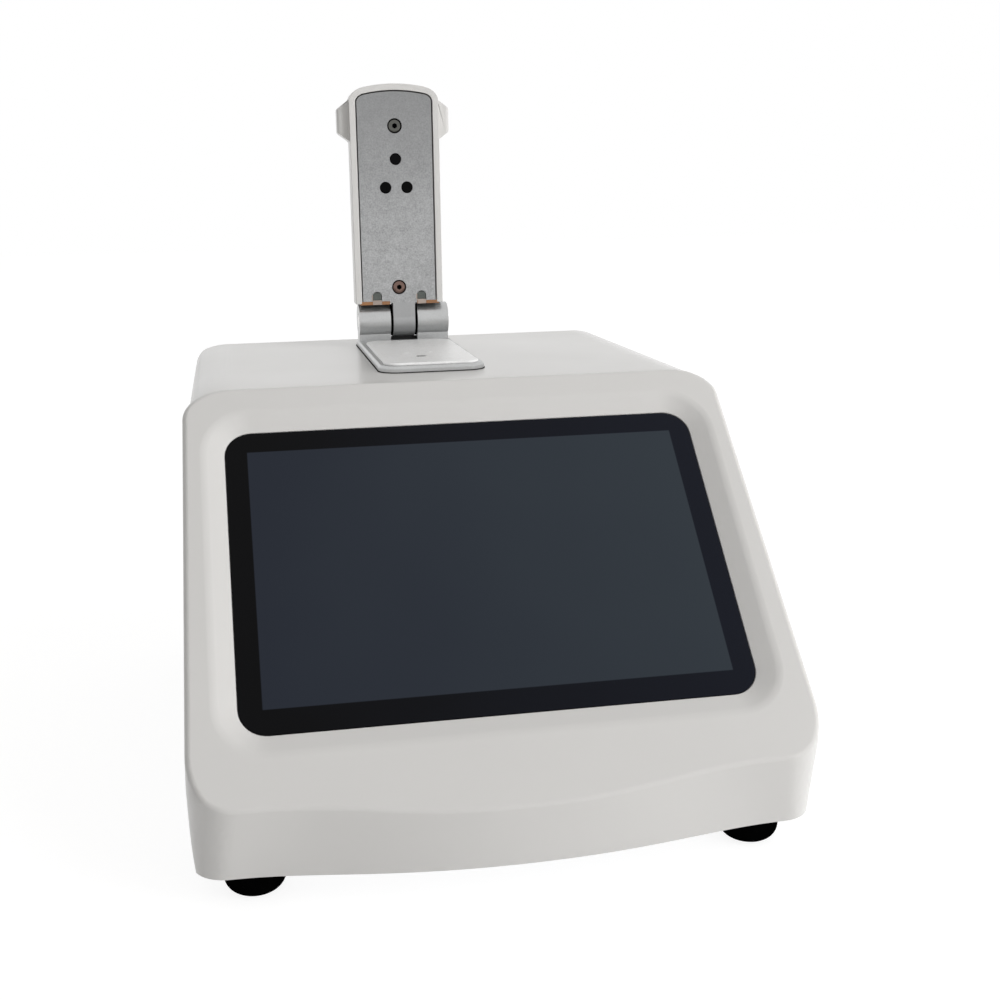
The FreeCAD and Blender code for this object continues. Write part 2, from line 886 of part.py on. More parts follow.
def heat_spreader():
    """A finned plate on the chips of the tablet's circuit board."""
    top = bracket_back - tablet_board_gap - board_thickness - chip_height
    plate = box(spreader_width, spreader_height, spreader_thickness, (spreader_x, glass_mid),
                top - spreader_thickness)
    pitch = (spreader_width - spreader_fin) / (spreader_fins - 1)
    first = spreader_x - (spreader_width - spreader_fin) / 2
    fins = [box(spreader_fin, spreader_height, spreader_fin_depth, (first + index * pitch, glass_mid),
                top - spreader_thickness - spreader_fin_depth) for index in range(spreader_fins)]
    return on_slope(joined([plate] + fins))


def rear_panel():
    """The plate that carries the switch, the inlet and the ports, behind the rear window."""
    plate = panel_outline(0, panel_back - panel_thickness, panel_back)
    low_y = panel_back - 2 * panel_thickness
    cut_depth = 4 * panel_thickness
    plate = plate.cut(box(switch_width, cut_depth, switch_height, (switch_x, low_y + cut_depth / 2),
                          port_height_z - switch_height / 2))
    plate = plate.cut(rod(inlet_radius, cut_depth, (inlet_x, low_y, port_height_z), BACK))
    for x in usb_places().values():
        plate = plate.cut(box(usb_width, cut_depth, usb_height, (x, low_y + cut_depth / 2),
                              port_height_z - usb_height / 2))
    for x, z in panel_screw_places():
        plate = plate.cut(rod(panel_screw_radius, cut_depth, (x, low_y, z), BACK))
    return plate.removeSplitter()


def usb_places():
    return {"usb_port_left": usb_x, "usb_port_right": usb_x + usb_pitch}


def panel_screw_places():
    """Screws near the corners of the panel's visible field."""
    x = panel_width / 2 - panel_lap - 2 * panel_screw_head
    z_middle = panel_low + panel_height / 2
    z = panel_height / 2 - panel_lap - 2 * panel_screw_head
    return [(side_x * x, z_middle + side_z * z) for side_x in (-1, 1) for side_z in (-1, 1)]


def panel_screws():
    screws = []
    for x, z in panel_screw_places():
        screws.append(pan_screw(panel_screw_head, panel_screw_head_height, panel_screw_radius,
                                panel_screw_length, (x, panel_back + panel_screw_head_height, z), FORWARD))
    return Part.makeCompound(screws)


def switch_body():
    """The power switch's housing, with a flange on the panel and a pocket for the rocker."""
    flange = box(switch_width + 2 * switch_flange, switch_flange_thickness, switch_height + 2 * switch_flange,
                 (switch_x, panel_back + switch_flange_thickness / 2),
                 port_height_z - switch_height / 2 - switch_flange)
    body = box(switch_width, switch_depth, switch_height, (switch_x, panel_back - switch_depth / 2),
               port_height_z - switch_height / 2)
    terminals = [box(terminal_thickness, terminal_length, terminal_height,
                     (switch_x + side * switch_width / 4, panel_back - switch_depth - terminal_length / 2),
                     port_height_z - terminal_height / 2) for side in (-1, 1)]
    pocket_y = panel_back + switch_flange_thickness
    pocket_depth = 2 * rocker_axis_depth
    pocket = box(switch_width - 2 * switch_flange, pocket_depth, switch_height - 2 * switch_flange,
                 (switch_x, pocket_y - pocket_depth / 2), port_height_z - switch_height / 2 + switch_flange)
    x, y, z = rocker_axis()
    reach = switch_height / 2 - switch_flange + rocker_pivot_length
    pivots = rod(rocker_pivot_radius + rocker_pivot_clearance, 2 * reach, (x, y, z - reach), UP)
    return joined([flange, body] + terminals).cut(pocket).cut(pivots)


def rocker_axis():
    """Where the rocker turns: across its short side, inside the switch."""
    return (switch_x, panel_back + switch_flange_thickness - rocker_axis_depth, port_height_z)


def switch_rocker():
    """A rocker with two faces that meet in a shallow valley, tipped to its off side."""
    half = switch_width / 2 - switch_flange - rocker_gap
    height = switch_height - 2 * switch_flange - 2 * rocker_gap
    x, y, z = rocker_axis()
    face = rocker_axis_depth + rocker_rise
    valley = face - rocker_valley
    root = half - rocker_draft
    wire = Part.Wire([
        line((-root, -rocker_root, 0), (root, -rocker_root, 0)),
        line((root, -rocker_root, 0), (half, face, 0)),
        bezier([(half, face, 0), (half / 2, valley, 0), (-half / 2, valley, 0), (-half, face, 0)]),
        line((-half, face, 0), (-root, -rocker_root, 0)),
    ])
    shape = Part.Face(wire).extrude(Vector(0, 0, height))
    shape.translate(Vector(x, y, z - height / 2))
    shape.rotate(Vector(x, y, z), Vector(0, 0, 1), rocker_tilt)
    reach = switch_height / 2 - switch_flange + rocker_pivot_length - rocker_pivot_clearance
    return joined([shape, rod(rocker_pivot_radius, 2 * reach, (x, y, z - reach), UP)])


def dc_inlet():
    """A round power inlet with its centre pin and fixing nut."""
    back = panel_back - inlet_length
    length = inlet_length + inlet_nut_thickness + inlet_rim
    body = rod(inlet_radius, length, (inlet_x, back, port_height_z), BACK)
    nut = rod(inlet_nut_radius, inlet_nut_thickness, (inlet_x, panel_back, port_height_z), BACK)
    bore = rod(inlet_bore, 2 * inlet_length, (inlet_x, back + inlet_floor, port_height_z), BACK)
    pin_start = (inlet_x, back + inlet_floor / 2, port_height_z)
    pin = rod(inlet_pin_radius, inlet_length - inlet_floor, pin_start, BACK)
    return joined([joined([body, nut]).cut(bore), pin])


def usb_port(x):
    """A socket for a data plug: a folded shell with its tongue."""
    middle = panel_back + usb_rise - usb_depth / 2
    low = port_height_z - usb_height / 2
    shell = box(usb_width, usb_depth, usb_height, (x, middle), low)
    inside = box(usb_width - 2 * usb_shell, usb_depth, usb_height - 2 * usb_shell,
                 (x, middle + usb_floor), low + usb_shell)
    tongue_top = low + usb_height - 2 * usb_shell
    tongue = box(usb_tongue_width, usb_depth - usb_floor, usb_tongue, (x, middle - usb_floor / 2),
                 tongue_top - usb_tongue)
    return joined([shell.cut(inside), tongue])


def level_edge(edge, height):
    """Whether an edge lies flat at a height."""
    limits = edge.BoundBox
    return abs(limits.ZMin - height) < small and abs(limits.ZMax - height) < small


def plate_screw_places():
    """Four screws that hold the foot plate down on the deck."""
    x = plate_width / 2 - plate_screw_inset
    y = plate_length / 2 - plate_screw_inset
    return [(hinge_x + side_x * x, plate_middle + side_y * y) for side_x in (-1, 1) for side_y in (-1, 1)]


def foot_plate():
    """The cast plate on the deck, with a saddle for the barrels and a hole for the pedestal's bush."""
    plate = rounded_block(plate_width, plate_length, plate_corner, deck_height, plate_top)
    top_edges = [edge for edge in plate.Edges if level_edge(edge, plate_top)]
    plate = plate.makeChamfer(plate_chamfer, top_edges)
    plate.translate(Vector(hinge_x, plate_middle, 0))
    saddles = []
    side_width = (barrel_span - centre_barrel) / 2 - barrel_gap
    for side in (-1, 1):
        x = hinge_x + side * (barrel_span - side_width) / 2
        block = box(side_width, saddle_depth, hinge_rise - saddle_drop - plate_thickness + over_cut,
                    (x, hinge_y), plate_top - over_cut)
        block = block.cut(rod(barrel_radius, side_width, (x - side_width / 2, hinge_y, hinge_z), RIGHT))
        saddles.append(block)
    plate = joined([plate] + saddles)
    plate = plate.cut(rod(pedestal_bush_radius, 4 * plate_thickness,
                          on_pedestal(deck_height - plate_thickness), UP))
    for x, y in plate_screw_places():
        plate = plate.cut(rod(plate_screw_radius, through, (x, y, deck_height - over_cut), UP))
        seat = (x, y, plate_top - plate_screw_head_height)
        plate = plate.cut(rod(plate_screw_head, plate_thickness, seat, UP))
    return plate.removeSplitter()


def plate_screws():
    screws = []
    for x, y in plate_screw_places():
        screws.append(pan_screw(plate_screw_head, plate_screw_head_height - screw_sink, plate_screw_radius,
                                plate_screw_length, (x, y, plate_top - screw_sink), DOWN))
    return Part.makeCompound(screws)


def sample_plate():
    """The fine-blasted plate around the pedestal, with two locating pins for the arm."""
    front = plate_front + sample_margin
    length = sample_back - front
    block = rounded_block(plate_width - 2 * sample_margin, length, sample_corner, plate_top, sample_top)
    top_edges = [edge for edge in block.Edges if level_edge(edge, sample_top)]
    block = block.makeChamfer(sample_chamfer, top_edges)
    block.translate(Vector(hinge_x, front + length / 2, 0))
    pin_low = sample_top - sample_thickness / 2
    pins = [rod(locator_radius, locator_rise + sample_thickness / 2,
                (arm_x + side * bumper_offset, hinge_y - bumper_height, pin_low), UP) for side in (-1, 1)]
    block = joined([block] + pins)
    return block.cut(rod(pedestal_radius + seam_gap, 4 * sample_thickness,
                         on_pedestal(plate_top - sample_thickness), UP))


def pedestal_bush():
    low = deck_height - pedestal_bush_drop
    height = plate_top - low
    bush = rod(pedestal_bush_radius, height, on_pedestal(low), UP)
    return bush.cut(rod(pedestal_radius + pedestal_clearance, 3 * height, on_pedestal(low - height), UP))


def lower_pedestal():
    """The polished steel post that holds the drop, drilled for the fibre."""
    low = carriage_top - carriage_grip
    post = rod(pedestal_radius, sample_top - low, on_pedestal(low), UP)
    return post.cut(rod(pedestal_bore, 2 * (sample_top - low), on_pedestal(low - over_cut), UP))


def pedestal_carriage():
    """The nut block that carries the pedestal up and down on the drive screw."""
    x = arm_x + screw_offset / 2
    low = carriage_top - carriage_height
    block = box(carriage_width, carriage_depth, carriage_height, (x, pedestal_y), low)
    block = block.cut(rod(pedestal_radius, carriage_height, on_pedestal(carriage_top - carriage_grip), UP))
    block = block.cut(rod(fibre_radius + seam_gap, 2 * carriage_height, on_pedestal(low - over_cut), UP))
    return block.cut(rod(screw_radius + screw_clearance, 3 * carriage_height,
                         on_drive(low - carriage_height), UP))


def path_screw():
    """The drive screw that stands on the motor's shaft."""
    low = motor_top - motor_bore + motor_bore_end
    return rod(screw_radius, carriage_top + pedestal_lift + screw_above - low, on_drive(low), UP)


def path_motor():
    """A can motor that hangs by its flange under the cage's floor."""
    x = arm_x + screw_offset
    low = motor_top - motor_height
    can = rod(motor_radius, motor_height, (x, pedestal_y, low), UP)
    flange = box(motor_flange_width, cage_depth, motor_flange_thickness, (x, pedestal_y),
                 motor_top - motor_flange_thickness)
    bore = rod(screw_radius + screw_clearance, motor_bore, (x, pedestal_y, motor_top - motor_bore), UP)
    return joined([can, flange]).cut(bore)


def drive_cage():
    """A bent sheet that hangs from the deck, guides the carriage and holds the motor."""
    x = arm_x + screw_offset / 2
    inner = carriage_width + 2 * carriage_clearance
    width = inner + 2 * cage_sheet
    low = motor_top
    height = wall_inner_z - low
    sides = [box(cage_sheet, cage_depth, height, (x + side * (inner + cage_sheet) / 2, pedestal_y), low)
             for side in (-1, 1)]
    floor = box(width, cage_depth, cage_sheet, (x, pedestal_y), low)
    floor = floor.cut(rod(screw_radius + seam_gap, 3 * cage_sheet,
                          on_drive(low - cage_sheet), UP))
    floor = floor.cut(rod(fibre_radius + 2 * seam_gap, 3 * cage_sheet, on_pedestal(low - cage_sheet), UP))
    ears = [box(cage_ear, cage_depth, cage_sheet, (x + side * (width + cage_ear) / 2, pedestal_y),
                wall_inner_z - cage_sheet) for side in (-1, 1)]
    return joined(sides + [floor] + ears)


def hinge_knuckle(side):
    """One fixed barrel of the hinge, bored for its bush."""
    width = (barrel_span - centre_barrel) / 2 - barrel_gap
    start = hinge_x + side * (barrel_span / 2) - (width if side > 0 else 0)
    barrel = rod(barrel_radius, width, (start, hinge_y, hinge_z), RIGHT)
    seat = rod(bush_radius, bush_length, (outer_bush_start(side), hinge_y, hinge_z), RIGHT)
    end_bore = rod(pin_head_radius + seam_gap, width, (start, hinge_y, hinge_z), RIGHT)
    return barrel.cut(seat).cut(end_bore)


def outer_bush_start(side):
    """The bushes lie against the centre barrel's side of each fixed barrel."""
    inner = hinge_x + side * (centre_barrel / 2 + barrel_gap)
    return inner if side > 0 else inner - bush_length


def hinge_bush(side):
    """The friction bush that grips the pin and holds the arm where it is left."""
    start = outer_bush_start(side)
    bush = rod(bush_radius, bush_length, (start, hinge_y, hinge_z), RIGHT)
    return bush.cut(rod(pin_radius + pin_clearance, bush_length, (start, hinge_y, hinge_z), RIGHT))


def hinge_pin():
    """The pin through all three barrels, with a flat head at each end."""
    start = hinge_x - barrel_span / 2
    pin = rod(pin_radius, barrel_span, (start, hinge_y, hinge_z), RIGHT)
    heads = [rod(pin_head_radius, pin_head_depth, (x, hinge_y, hinge_z), RIGHT)
             for x in (start, start + barrel_span - pin_head_depth)]
    return joined([pin] + heads)


def arm_outline(inset, back, front, low):
    """The arm's outline with an arched end, as a block between two depths."""
    half = arm_width / 2 - inset
    corner = arm_crown_corner - inset
    top = arm_crown + hinge_z - inset
    reach = half - corner
    shoulder = top - arm_arch
    side_top = shoulder - corner
    radius = (reach * reach + arm_arch * arm_arch) / (2 * arm_arch)
    lean = math.asin(reach / radius)
    handle = corner_handle * corner
    out = handle * math.cos(lean)
    down = handle * math.sin(lean)
    arch = Part.Arc(Vector(reach, back, shoulder), Vector(0, back, top), Vector(-reach, back, shoulder))
    edges = [
        line((-half, back, low), (half, back, low)),
        line((half, back, low), (half, back, side_top)),
        bezier([(half, back, side_top), (half, back, side_top + handle),
                (reach + out, back, shoulder - down), (reach, back, shoulder)]),
        arch.toShape(),
        bezier([(-reach, back, shoulder), (-reach - out, back, shoulder - down),
                (-half, back, side_top + handle), (-half, back, side_top)]),
        line((-half, back, side_top), (-half, back, low)),
    ]
    block = Part.Face(Part.Wire(edges)).extrude(Vector(0, front - back, 0))
    block.translate(Vector(arm_x, 0, 0))
    return block


def arm_cover():
    """The moulded shell of the arm, hollow towards its plate, with a finger grip on each side."""
    low = hinge_z + arm_low
    outer = arm_outline(0, arm_face + arm_depth, arm_face, low)
    back_edges = [edge for edge in outer.Edges
                  if edge.BoundBox.YMin > arm_face + arm_depth - small
                  and edge.BoundBox.ZMax > low + over_cut]
    outer = outer.makeFillet(arm_back_round, back_edges)
    grips = []
    for side in (-1, 1):
        root = arm_x + side * (arm_width / 2 - arm_wall)
        edge_x = arm_x + side * (arm_width / 2)
        tip = edge_x + side * grip_out
        y = arm_face + grip_front
        points = [(root, grip_root_low), (edge_x, grip_root_low), (tip, grip_tip_low), (tip, grip_tip_high),
                  (edge_x, grip_root_high), (root, grip_root_high)]
        wire = Part.makePolygon([Vector(x, y, z + hinge_z) for x, z in points + points[:1]])
        grip = Part.Face(wire).extrude(Vector(0, grip_depth, 0))
        long_edges = [edge for edge in grip.Edges if abs(edge.BoundBox.XMin - tip) < small
                      and abs(edge.BoundBox.XMax - tip) < small]
        grips.append(grip.makeFillet(grip_round, long_edges))
    shell = joined([outer] + grips)
    hollow = arm_outline(arm_wall, arm_face + arm_depth - arm_back_wall, arm_face - over_cut, low - over_cut)
    shell = shell.cut(hollow)
    boss_start = arm_plate_sink + arm_plate_thickness + leaf_thickness
    boss_length = arm_depth - arm_back_wall - boss_start + over_cut / 2
    bosses = [rod(arm_boss_radius, boss_length, (arm_x, arm_face + boss_start, hinge_z + height), BACK)
              for height in (upper_screw_height, lower_screw_height)]
    shell = joined([shell] + bosses)
    for height in (upper_screw_height, lower_screw_height):
        shell = shell.cut(rod(arm_screw_radius, arm_screw_length, (arm_x, arm_face, hinge_z + height), BACK))
    return shell


def arm_plate():
    """The blasted plate inside the arm's rim, with its notches and the centre barrel of the hinge."""
    inset = arm_wall + arm_plate_gap
    front = arm_face + arm_plate_sink
    low = hinge_z + arm_low
    plate = arm_outline(inset, front + arm_plate_thickness, front, low)
    for side in (-1, 1):
        x = arm_x + side * notch_offset
        top = low + notch_height
        cut = box(notch_width, 4 * arm_plate_thickness, notch_height - notch_width / 2, (x, front), low)
        cut = cut.fuse(rod(notch_width / 2, 4 * arm_plate_thickness,
                           (x, front - 2 * arm_plate_thickness, top - notch_width / 2), BACK))
        plate = plate.cut(cut)
    barrel = rod(barrel_radius, centre_barrel, (hinge_x - centre_barrel / 2, hinge_y, hinge_z), RIGHT)
    web = box(centre_barrel, arm_plate_thickness, arm_low + over_cut,
              (hinge_x, front + arm_plate_thickness / 2), hinge_z)
    plate = joined([plate, barrel, web])
    plate = plate.cut(rod(pin_radius, 2 * centre_barrel, (hinge_x - centre_barrel, hinge_y, hinge_z), RIGHT))
    for height in (upper_screw_height, lower_screw_height):
        spot = (arm_x, arm_face - over_cut, hinge_z + height)
        plate = plate.cut(rod(arm_screw_radius, through, spot, BACK))
        plate = plate.cut(rod(arm_screw_head, over_cut + arm_screw_head_height, spot, BACK))
    plate = plate.cut(rod(window_radius, through, (arm_x, arm_face, hinge_z + window_height), BACK))
    for x in (arm_x - bumper_offset, arm_x + bumper_offset):
        plate = plate.cut(rod(bumper_radius, through, (x, arm_face, hinge_z + bumper_height), BACK))
    return plate.removeSplitter()


def hinge_leaf():
    """The brass leaf between the arm's plate and its shell; its lower edge shows over the barrels."""
    front = arm_face + arm_plate_sink + arm_plate_thickness
    low = hinge_z + arm_low - leaf_drop
    width = arm_width - 2 * arm_wall - 2 * arm_plate_gap
    leaf = box(width, leaf_thickness, leaf_height, (arm_x, front + leaf_thickness / 2), low)
    leaf = leaf.cut(box(centre_barrel + 2 * barrel_gap, 4 * leaf_thickness, 2 * leaf_drop, (hinge_x, front),
                        low - leaf_drop))
    return leaf.cut(rod(arm_screw_radius, through, (arm_x, arm_face, hinge_z + lower_screw_height), BACK))


def arm_screws():
    """Two socket screws that hold the plate in the shell."""
    screws = []
    for height in (upper_screw_height, lower_screw_height):
        start = (arm_x, arm_face, hinge_z + height)
        screw = pan_screw(arm_screw_head, arm_screw_head_height, arm_screw_radius,
                          arm_screw_length - arm_screw_head_height, start, BACK)
        screws.append(screw.cut(rod(arm_screw_socket, socket_depth, start, BACK)))
    return Part.makeCompound(screws)


def upper_window():
    """The dark optical window that faces the pedestal when the arm is shut."""
    start = (arm_x, arm_face + arm_plate_sink, hinge_z + window_height)
    return rod(window_radius, window_length, start, BACK)


def rest_bumpers():
    """Two soft black stops that land on the sample plate's pins."""
    return Part.makeCompound([
        rod(bumper_radius, bumper_length, (arm_x + side * bumper_offset, arm_face + arm_plate_sink,
                                           hinge_z + bumper_height), BACK) for side in (-1, 1)])


def fibre_block():
    """The holder behind the window that takes light back through the arm."""
    front = arm_face + arm_plate_sink + arm_plate_thickness
    block = box(fibre_block_width, fibre_block_depth, fibre_block_height,
                (arm_x, front + fibre_block_depth / 2), hinge_z + window_height - fibre_block_height / 3)
    block = block.cut(rod(window_radius, window_length + arm_plate_sink,
                          (arm_x, arm_face, hinge_z + window_height), BACK))
    for x in (arm_x - bumper_offset, arm_x + bumper_offset):
        block = block.cut(rod(bumper_radius, bumper_length + arm_plate_sink,
                              (x, arm_face, hinge_z + bumper_height), BACK))
    return block


def optical_bench():
    """The cast spectrometer body on four lugs, with stiffening ribs and a port for the fibre."""
    low = tray_top
    body = box(bench_width, bench_depth, bench_height, (bench_x, bench_y), low)
    pocket = box(bench_width - 2 * bench_wall, bench_depth - 2 * bench_wall, bench_height,
                 (bench_x, bench_y), low + bench_wall)
    lugs = [rod(2 * bench_foot, bench_foot, (bench_x + side_x * (bench_width / 2 + bench_foot / 2),
                                             bench_y + side_y * (bench_depth / 2 - 2 * bench_foot), low), UP)
            for side_x in (-1, 1) for side_y in (-1, 1)]
    ribs = [box(bench_rib, bench_depth + 2 * bench_rib, bench_rib_height,
                (bench_x + index * bench_width / 4, bench_y), low) for index in (-1, 0, 1)]
    body = joined([body] + lugs + ribs).cut(pocket)
    port = rod(ferrule_radius, 3 * bench_wall, (arm_x, bench_y - bench_depth / 2 - bench_wall,
                                                low + bench_height / 2), BACK)
    return body.cut(port)


def bench_cover():
    """The bench's lid, a plate with a shallow raised field."""
    top = tray_top + bench_height
    plate = box(bench_width, bench_depth, bench_lid, (bench_x, bench_y), top)
    field = box(bench_width - 4 * bench_wall, bench_depth - 4 * bench_wall, bench_lid / 2,
                (bench_x, bench_y), top + bench_lid)
    return joined([plate, field])


def grating():
    """The concave grating at the far wall of the bench, on its foot."""
    low = tray_top + bench_wall
    x = bench_x - bench_width / 2 + 3 * bench_wall
    block = box(2 * bench_wall, grating_size, grating_size, (x, bench_y), low)
    dish_centre = Vector(x + bench_wall + grating_radius - grating_dish, bench_y, low + grating_size / 2)
    return block.cut(Part.makeSphere(grating_radius, dish_centre))


def detector_board():
    """The detector's circuit board, on the bench's rear wall inside."""
    y = bench_y + bench_depth / 2 - bench_wall - board_thickness / 2
    low = tray_top + bench_wall + detector_clearance
    x = bench_x + bench_width / 5
    board = box(detector_width, board_thickness, detector_height, (x, y), low)
    chip = box(detector_chip_width, chip_height, detector_chip_height,
               (x, y - board_thickness / 2 - chip_height / 2),
               low + (detector_height - detector_chip_height) / 2)
    return joined([board, chip])


def measuring_fibre():
    """The fibre from under the pedestal, down and back into the bench in one bend."""
    top = carriage_top - carriage_grip
    port_z = tray_top + bench_height / 2
    bend_y = pedestal_y + fibre_bend
    bend_z = port_z + fibre_bend
    diagonal = fibre_bend * math.sqrt(0.5)
    drop = line(on_pedestal(top), on_pedestal(bend_z))
    elbow = Part.Arc(Vector(*on_pedestal(bend_z)), Vector(arm_x, bend_y - diagonal, bend_z - diagonal),
                     Vector(arm_x, bend_y, port_z)).toShape()
    run = line((arm_x, bend_y, port_z), (arm_x, bench_y - bench_depth / 2 + bench_wall, port_z))
    ring = Part.Wire([Part.makeCircle(fibre_radius, Vector(*on_pedestal(top)), Vector(0, 0, 1))])
    return Part.Wire([drop, elbow, run]).makePipeShell([ring], True, True)


def fibre_ferrule():
    """The sleeve that holds the fibre in the bench's port."""
    face_y = bench_y - bench_depth / 2
    port_z = tray_top + bench_height / 2
    sleeve = rod(ferrule_radius, ferrule_length, (arm_x, face_y + bench_wall - ferrule_length, port_z), BACK)
    collar = rod(ferrule_radius + ferrule_collar, ferrule_collar_length,
                 (arm_x, face_y - ferrule_collar_length, port_z), BACK)
    bore_start = (arm_x, face_y - ferrule_length, port_z)
    bore = rod(fibre_radius + pin_clearance, 2 * ferrule_length, bore_start, BACK)
    return joined([sleeve, collar]).cut(bore)


def flash_lamp():
    """The pulsed lamp's housing with cooling fins and its round window."""
    body = box(lamp_width, lamp_depth, lamp_height, (lamp_x, lamp_y), tray_top)
    pitch = (lamp_depth - lamp_fin_depth) / (lamp_fins - 1)
    first = lamp_y - (lamp_depth - lamp_fin_depth) / 2
    fins = [box(lamp_width + 2 * lamp_fin_depth, lamp_fin_depth, lamp_fin_height,
                (lamp_x, first + index * pitch), tray_top) for index in range(lamp_fins)]
    window = rod(lamp_window_radius, lamp_window_length + over_cut,
                 (lamp_x, lamp_y + lamp_depth / 2 - over_cut, tray_top + lamp_height / 2), BACK)
    return joined([body, window] + fins)


def board_corners():
    x = board_width / 2 - standoff_inset
    y = board_depth / 2 - standoff_inset
    return [(board_x + side_x * x, board_y + side_y * y) for side_x in (-1, 1) for side_y in (-1, 1)]


def board_standoffs():
    return Part.makeCompound([rod(standoff_radius, standoff_height, (x, y, tray_top), UP)
                              for x, y in board_corners()])


def control_board():
    """The control circuit board with chips, a row of capacitors, a coil and a socket."""
    low = tray_top + standoff_height
    top = low + board_thickness
    parts = [box(board_width, board_depth, board_thickness, (board_x, board_y), low)]
    for x, y in control_chips:
        parts.append(box(chip_size, chip_size, chip_height, (board_x + x, board_y + y), top))
    for index in range(cap_count):
        spot = (board_x + cap_row_x, board_y + cap_row_y + index * cap_pitch, top)
        parts.append(rod(cap_radius, cap_height, spot, UP))
    parts.append(rod(coil_radius, coil_height, (board_x + coil_x, board_y + coil_y, top), UP))
    socket_y = board_y + board_depth / 2 - socket_size
    parts.append(box(socket_width, socket_size, socket_size, (board_x, socket_y), top))
    return joined(parts)


def all_pieces():
    """Every piece by its node's name."""
    pieces = {
        "front_cover": front_cover(),
        "rear_cover": rear_cover(),
        "base_tray": base_tray(),
        "rear_panel": rear_panel(),
        "foot_screws": foot_screws(),
        "tray_screws": tray_screws(),
        "panel_screws": panel_screws(),
        "screen_glass": screen_glass(),
        "glass_gasket": glass_gasket(),
        "lcd_panel": lcd_panel(),
        "display_bracket": display_bracket(),
        "tablet_board": tablet_board(),
        "heat_spreader": heat_spreader(),
        "switch_body": switch_body(),
        "switch_rocker": switch_rocker(),
        "dc_inlet": dc_inlet(),
        "foot_plate": foot_plate(),
        "plate_screws": plate_screws(),
        "sample_plate": sample_plate(),
        "pedestal_bush": pedestal_bush(),
        "lower_pedestal": lower_pedestal(),
        "pedestal_carriage": pedestal_carriage(),
        "path_screw": path_screw(),
        "path_motor": path_motor(),
        "drive_cage": drive_cage(),
        "hinge_pin": hinge_pin(),
        "arm_cover": arm_cover(),
        "arm_plate": arm_plate(),
        "hinge_leaf": hinge_leaf(),
        "arm_screws": arm_screws(),
        "upper_window": upper_window(),
        "rest_bumpers": rest_bumpers(),
        "fibre_block": fibre_block(),
        "optical_bench": optical_bench(),
        "bench_cover": bench_cover(),
        "grating": grating(),
        "detector_board": detector_board(),
        "measuring_fibre": measuring_fibre(),
        "fibre_ferrule": fibre_ferrule(),
        "flash_lamp": flash_lamp(),
        "board_standoffs": board_standoffs(),
        "control_board": control_board(),
    }
    for name, (x, y) in foot_places().items():
        pieces[name] = foot(x, y)
    for name, x in usb_places().items():
        pieces[name] = usb_port(x)
    for name, side in (("left", -1), ("right", 1)):
        pieces["hinge_knuckle_" + name] = hinge_knuckle(side)
        pieces["hinge_bush_" + name] = hinge_bush(side)
    return pieces


if __name__ == "__main__":
    for node, solid in all_pieces().items():
        solid.exportStep("parts/" + node + ".step")
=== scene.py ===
"""Finishes, fittings, screen and studio for the micro-volume spectrophotometer."""
import json
import math

import bpy
from mathutils import Matrix, Vector


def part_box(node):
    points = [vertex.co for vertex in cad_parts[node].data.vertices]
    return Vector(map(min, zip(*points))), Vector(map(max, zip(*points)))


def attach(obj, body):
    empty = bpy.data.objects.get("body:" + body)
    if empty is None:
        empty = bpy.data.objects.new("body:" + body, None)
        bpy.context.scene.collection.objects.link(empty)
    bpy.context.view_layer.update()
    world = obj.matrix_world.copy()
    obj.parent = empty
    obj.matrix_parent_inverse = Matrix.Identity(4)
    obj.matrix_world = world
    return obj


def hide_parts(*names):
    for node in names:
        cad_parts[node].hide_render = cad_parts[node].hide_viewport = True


bl_info = {
    "name": "Micro-volume spectrophotometer",
    "version": (1, 0, 0),
    "blender": (4, 5, 0),
    "location": "3D View > Sidebar > Instrument",
    "description": "Finishes the housing, arm, screen and fittings and sets the studio",
    "category": "Object",
}

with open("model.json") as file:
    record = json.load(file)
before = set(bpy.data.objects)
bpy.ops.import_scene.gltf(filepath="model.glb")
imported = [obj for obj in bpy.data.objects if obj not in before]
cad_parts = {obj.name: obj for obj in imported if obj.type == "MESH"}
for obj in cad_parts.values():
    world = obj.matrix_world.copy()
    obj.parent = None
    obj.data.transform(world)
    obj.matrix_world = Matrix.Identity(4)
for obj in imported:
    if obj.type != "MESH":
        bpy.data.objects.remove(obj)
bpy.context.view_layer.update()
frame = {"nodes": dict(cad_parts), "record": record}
nodes = frame["nodes"]
record = frame["record"]
body_of_node = {node: body for body, members in record["behaviour"]["bodies"].items() for node in members}
slot_of_node = {part["node"]: part["material_slot"] for part in record["subparts"]}
finishes = {}
groups = {}

# Turns that lay a round bar along an axis
ALONG_X = (0.0, math.radians(90), 0.0)
ALONG_Y = (math.radians(90), 0.0, 0.0)
ALONG_Z = (0.0, 0.0, 0.0)

# Distances within which a point counts as lying on a face, or on the slope or the recess's floor
ON_FACE = 0.00001
ON_SLOPE = 0.00003

# How the frame's meshes are cleaned, and which edges count as sharp
MERGE_DISTANCE = 0.000002
FLAT_ANGLE = math.radians(0.4)
SHARP_ANGLE = math.radians(35)

# Nearest and furthest edge of the recess, down the slope
RECESS_SPAN = (0.005, 0.2)

# Widths of broken edges
GLASS_ROUND = 0.0003
ARM_ROUND = 0.0004
PEDESTAL_ROUND = 0.0002
DOME_ROUND = 0.0009
STRIP_ROUND = 0.00015
GAP_SHADE_ROUND = 0.0001
REAR_ROUNDS = {
    "rear_panel": 0.0003, "switch_body": 0.0003, "switch_rocker": 0.0003, "dc_inlet": 0.0002,
    "usb_port_left": 0.0001, "usb_port_right": 0.0001, "panel_screws": 0.0, "tray_screws": 0.0,
}

# Heights on the arm plate over which its specks change, and over which painted shade darkens it towards its
# top
BARREL_TOP = (0.2325, 0.2335)
SPECK_FADE = (0.27, 0.36)
PAINTED_SHADE_HEIGHTS = (0.24, 0.37)

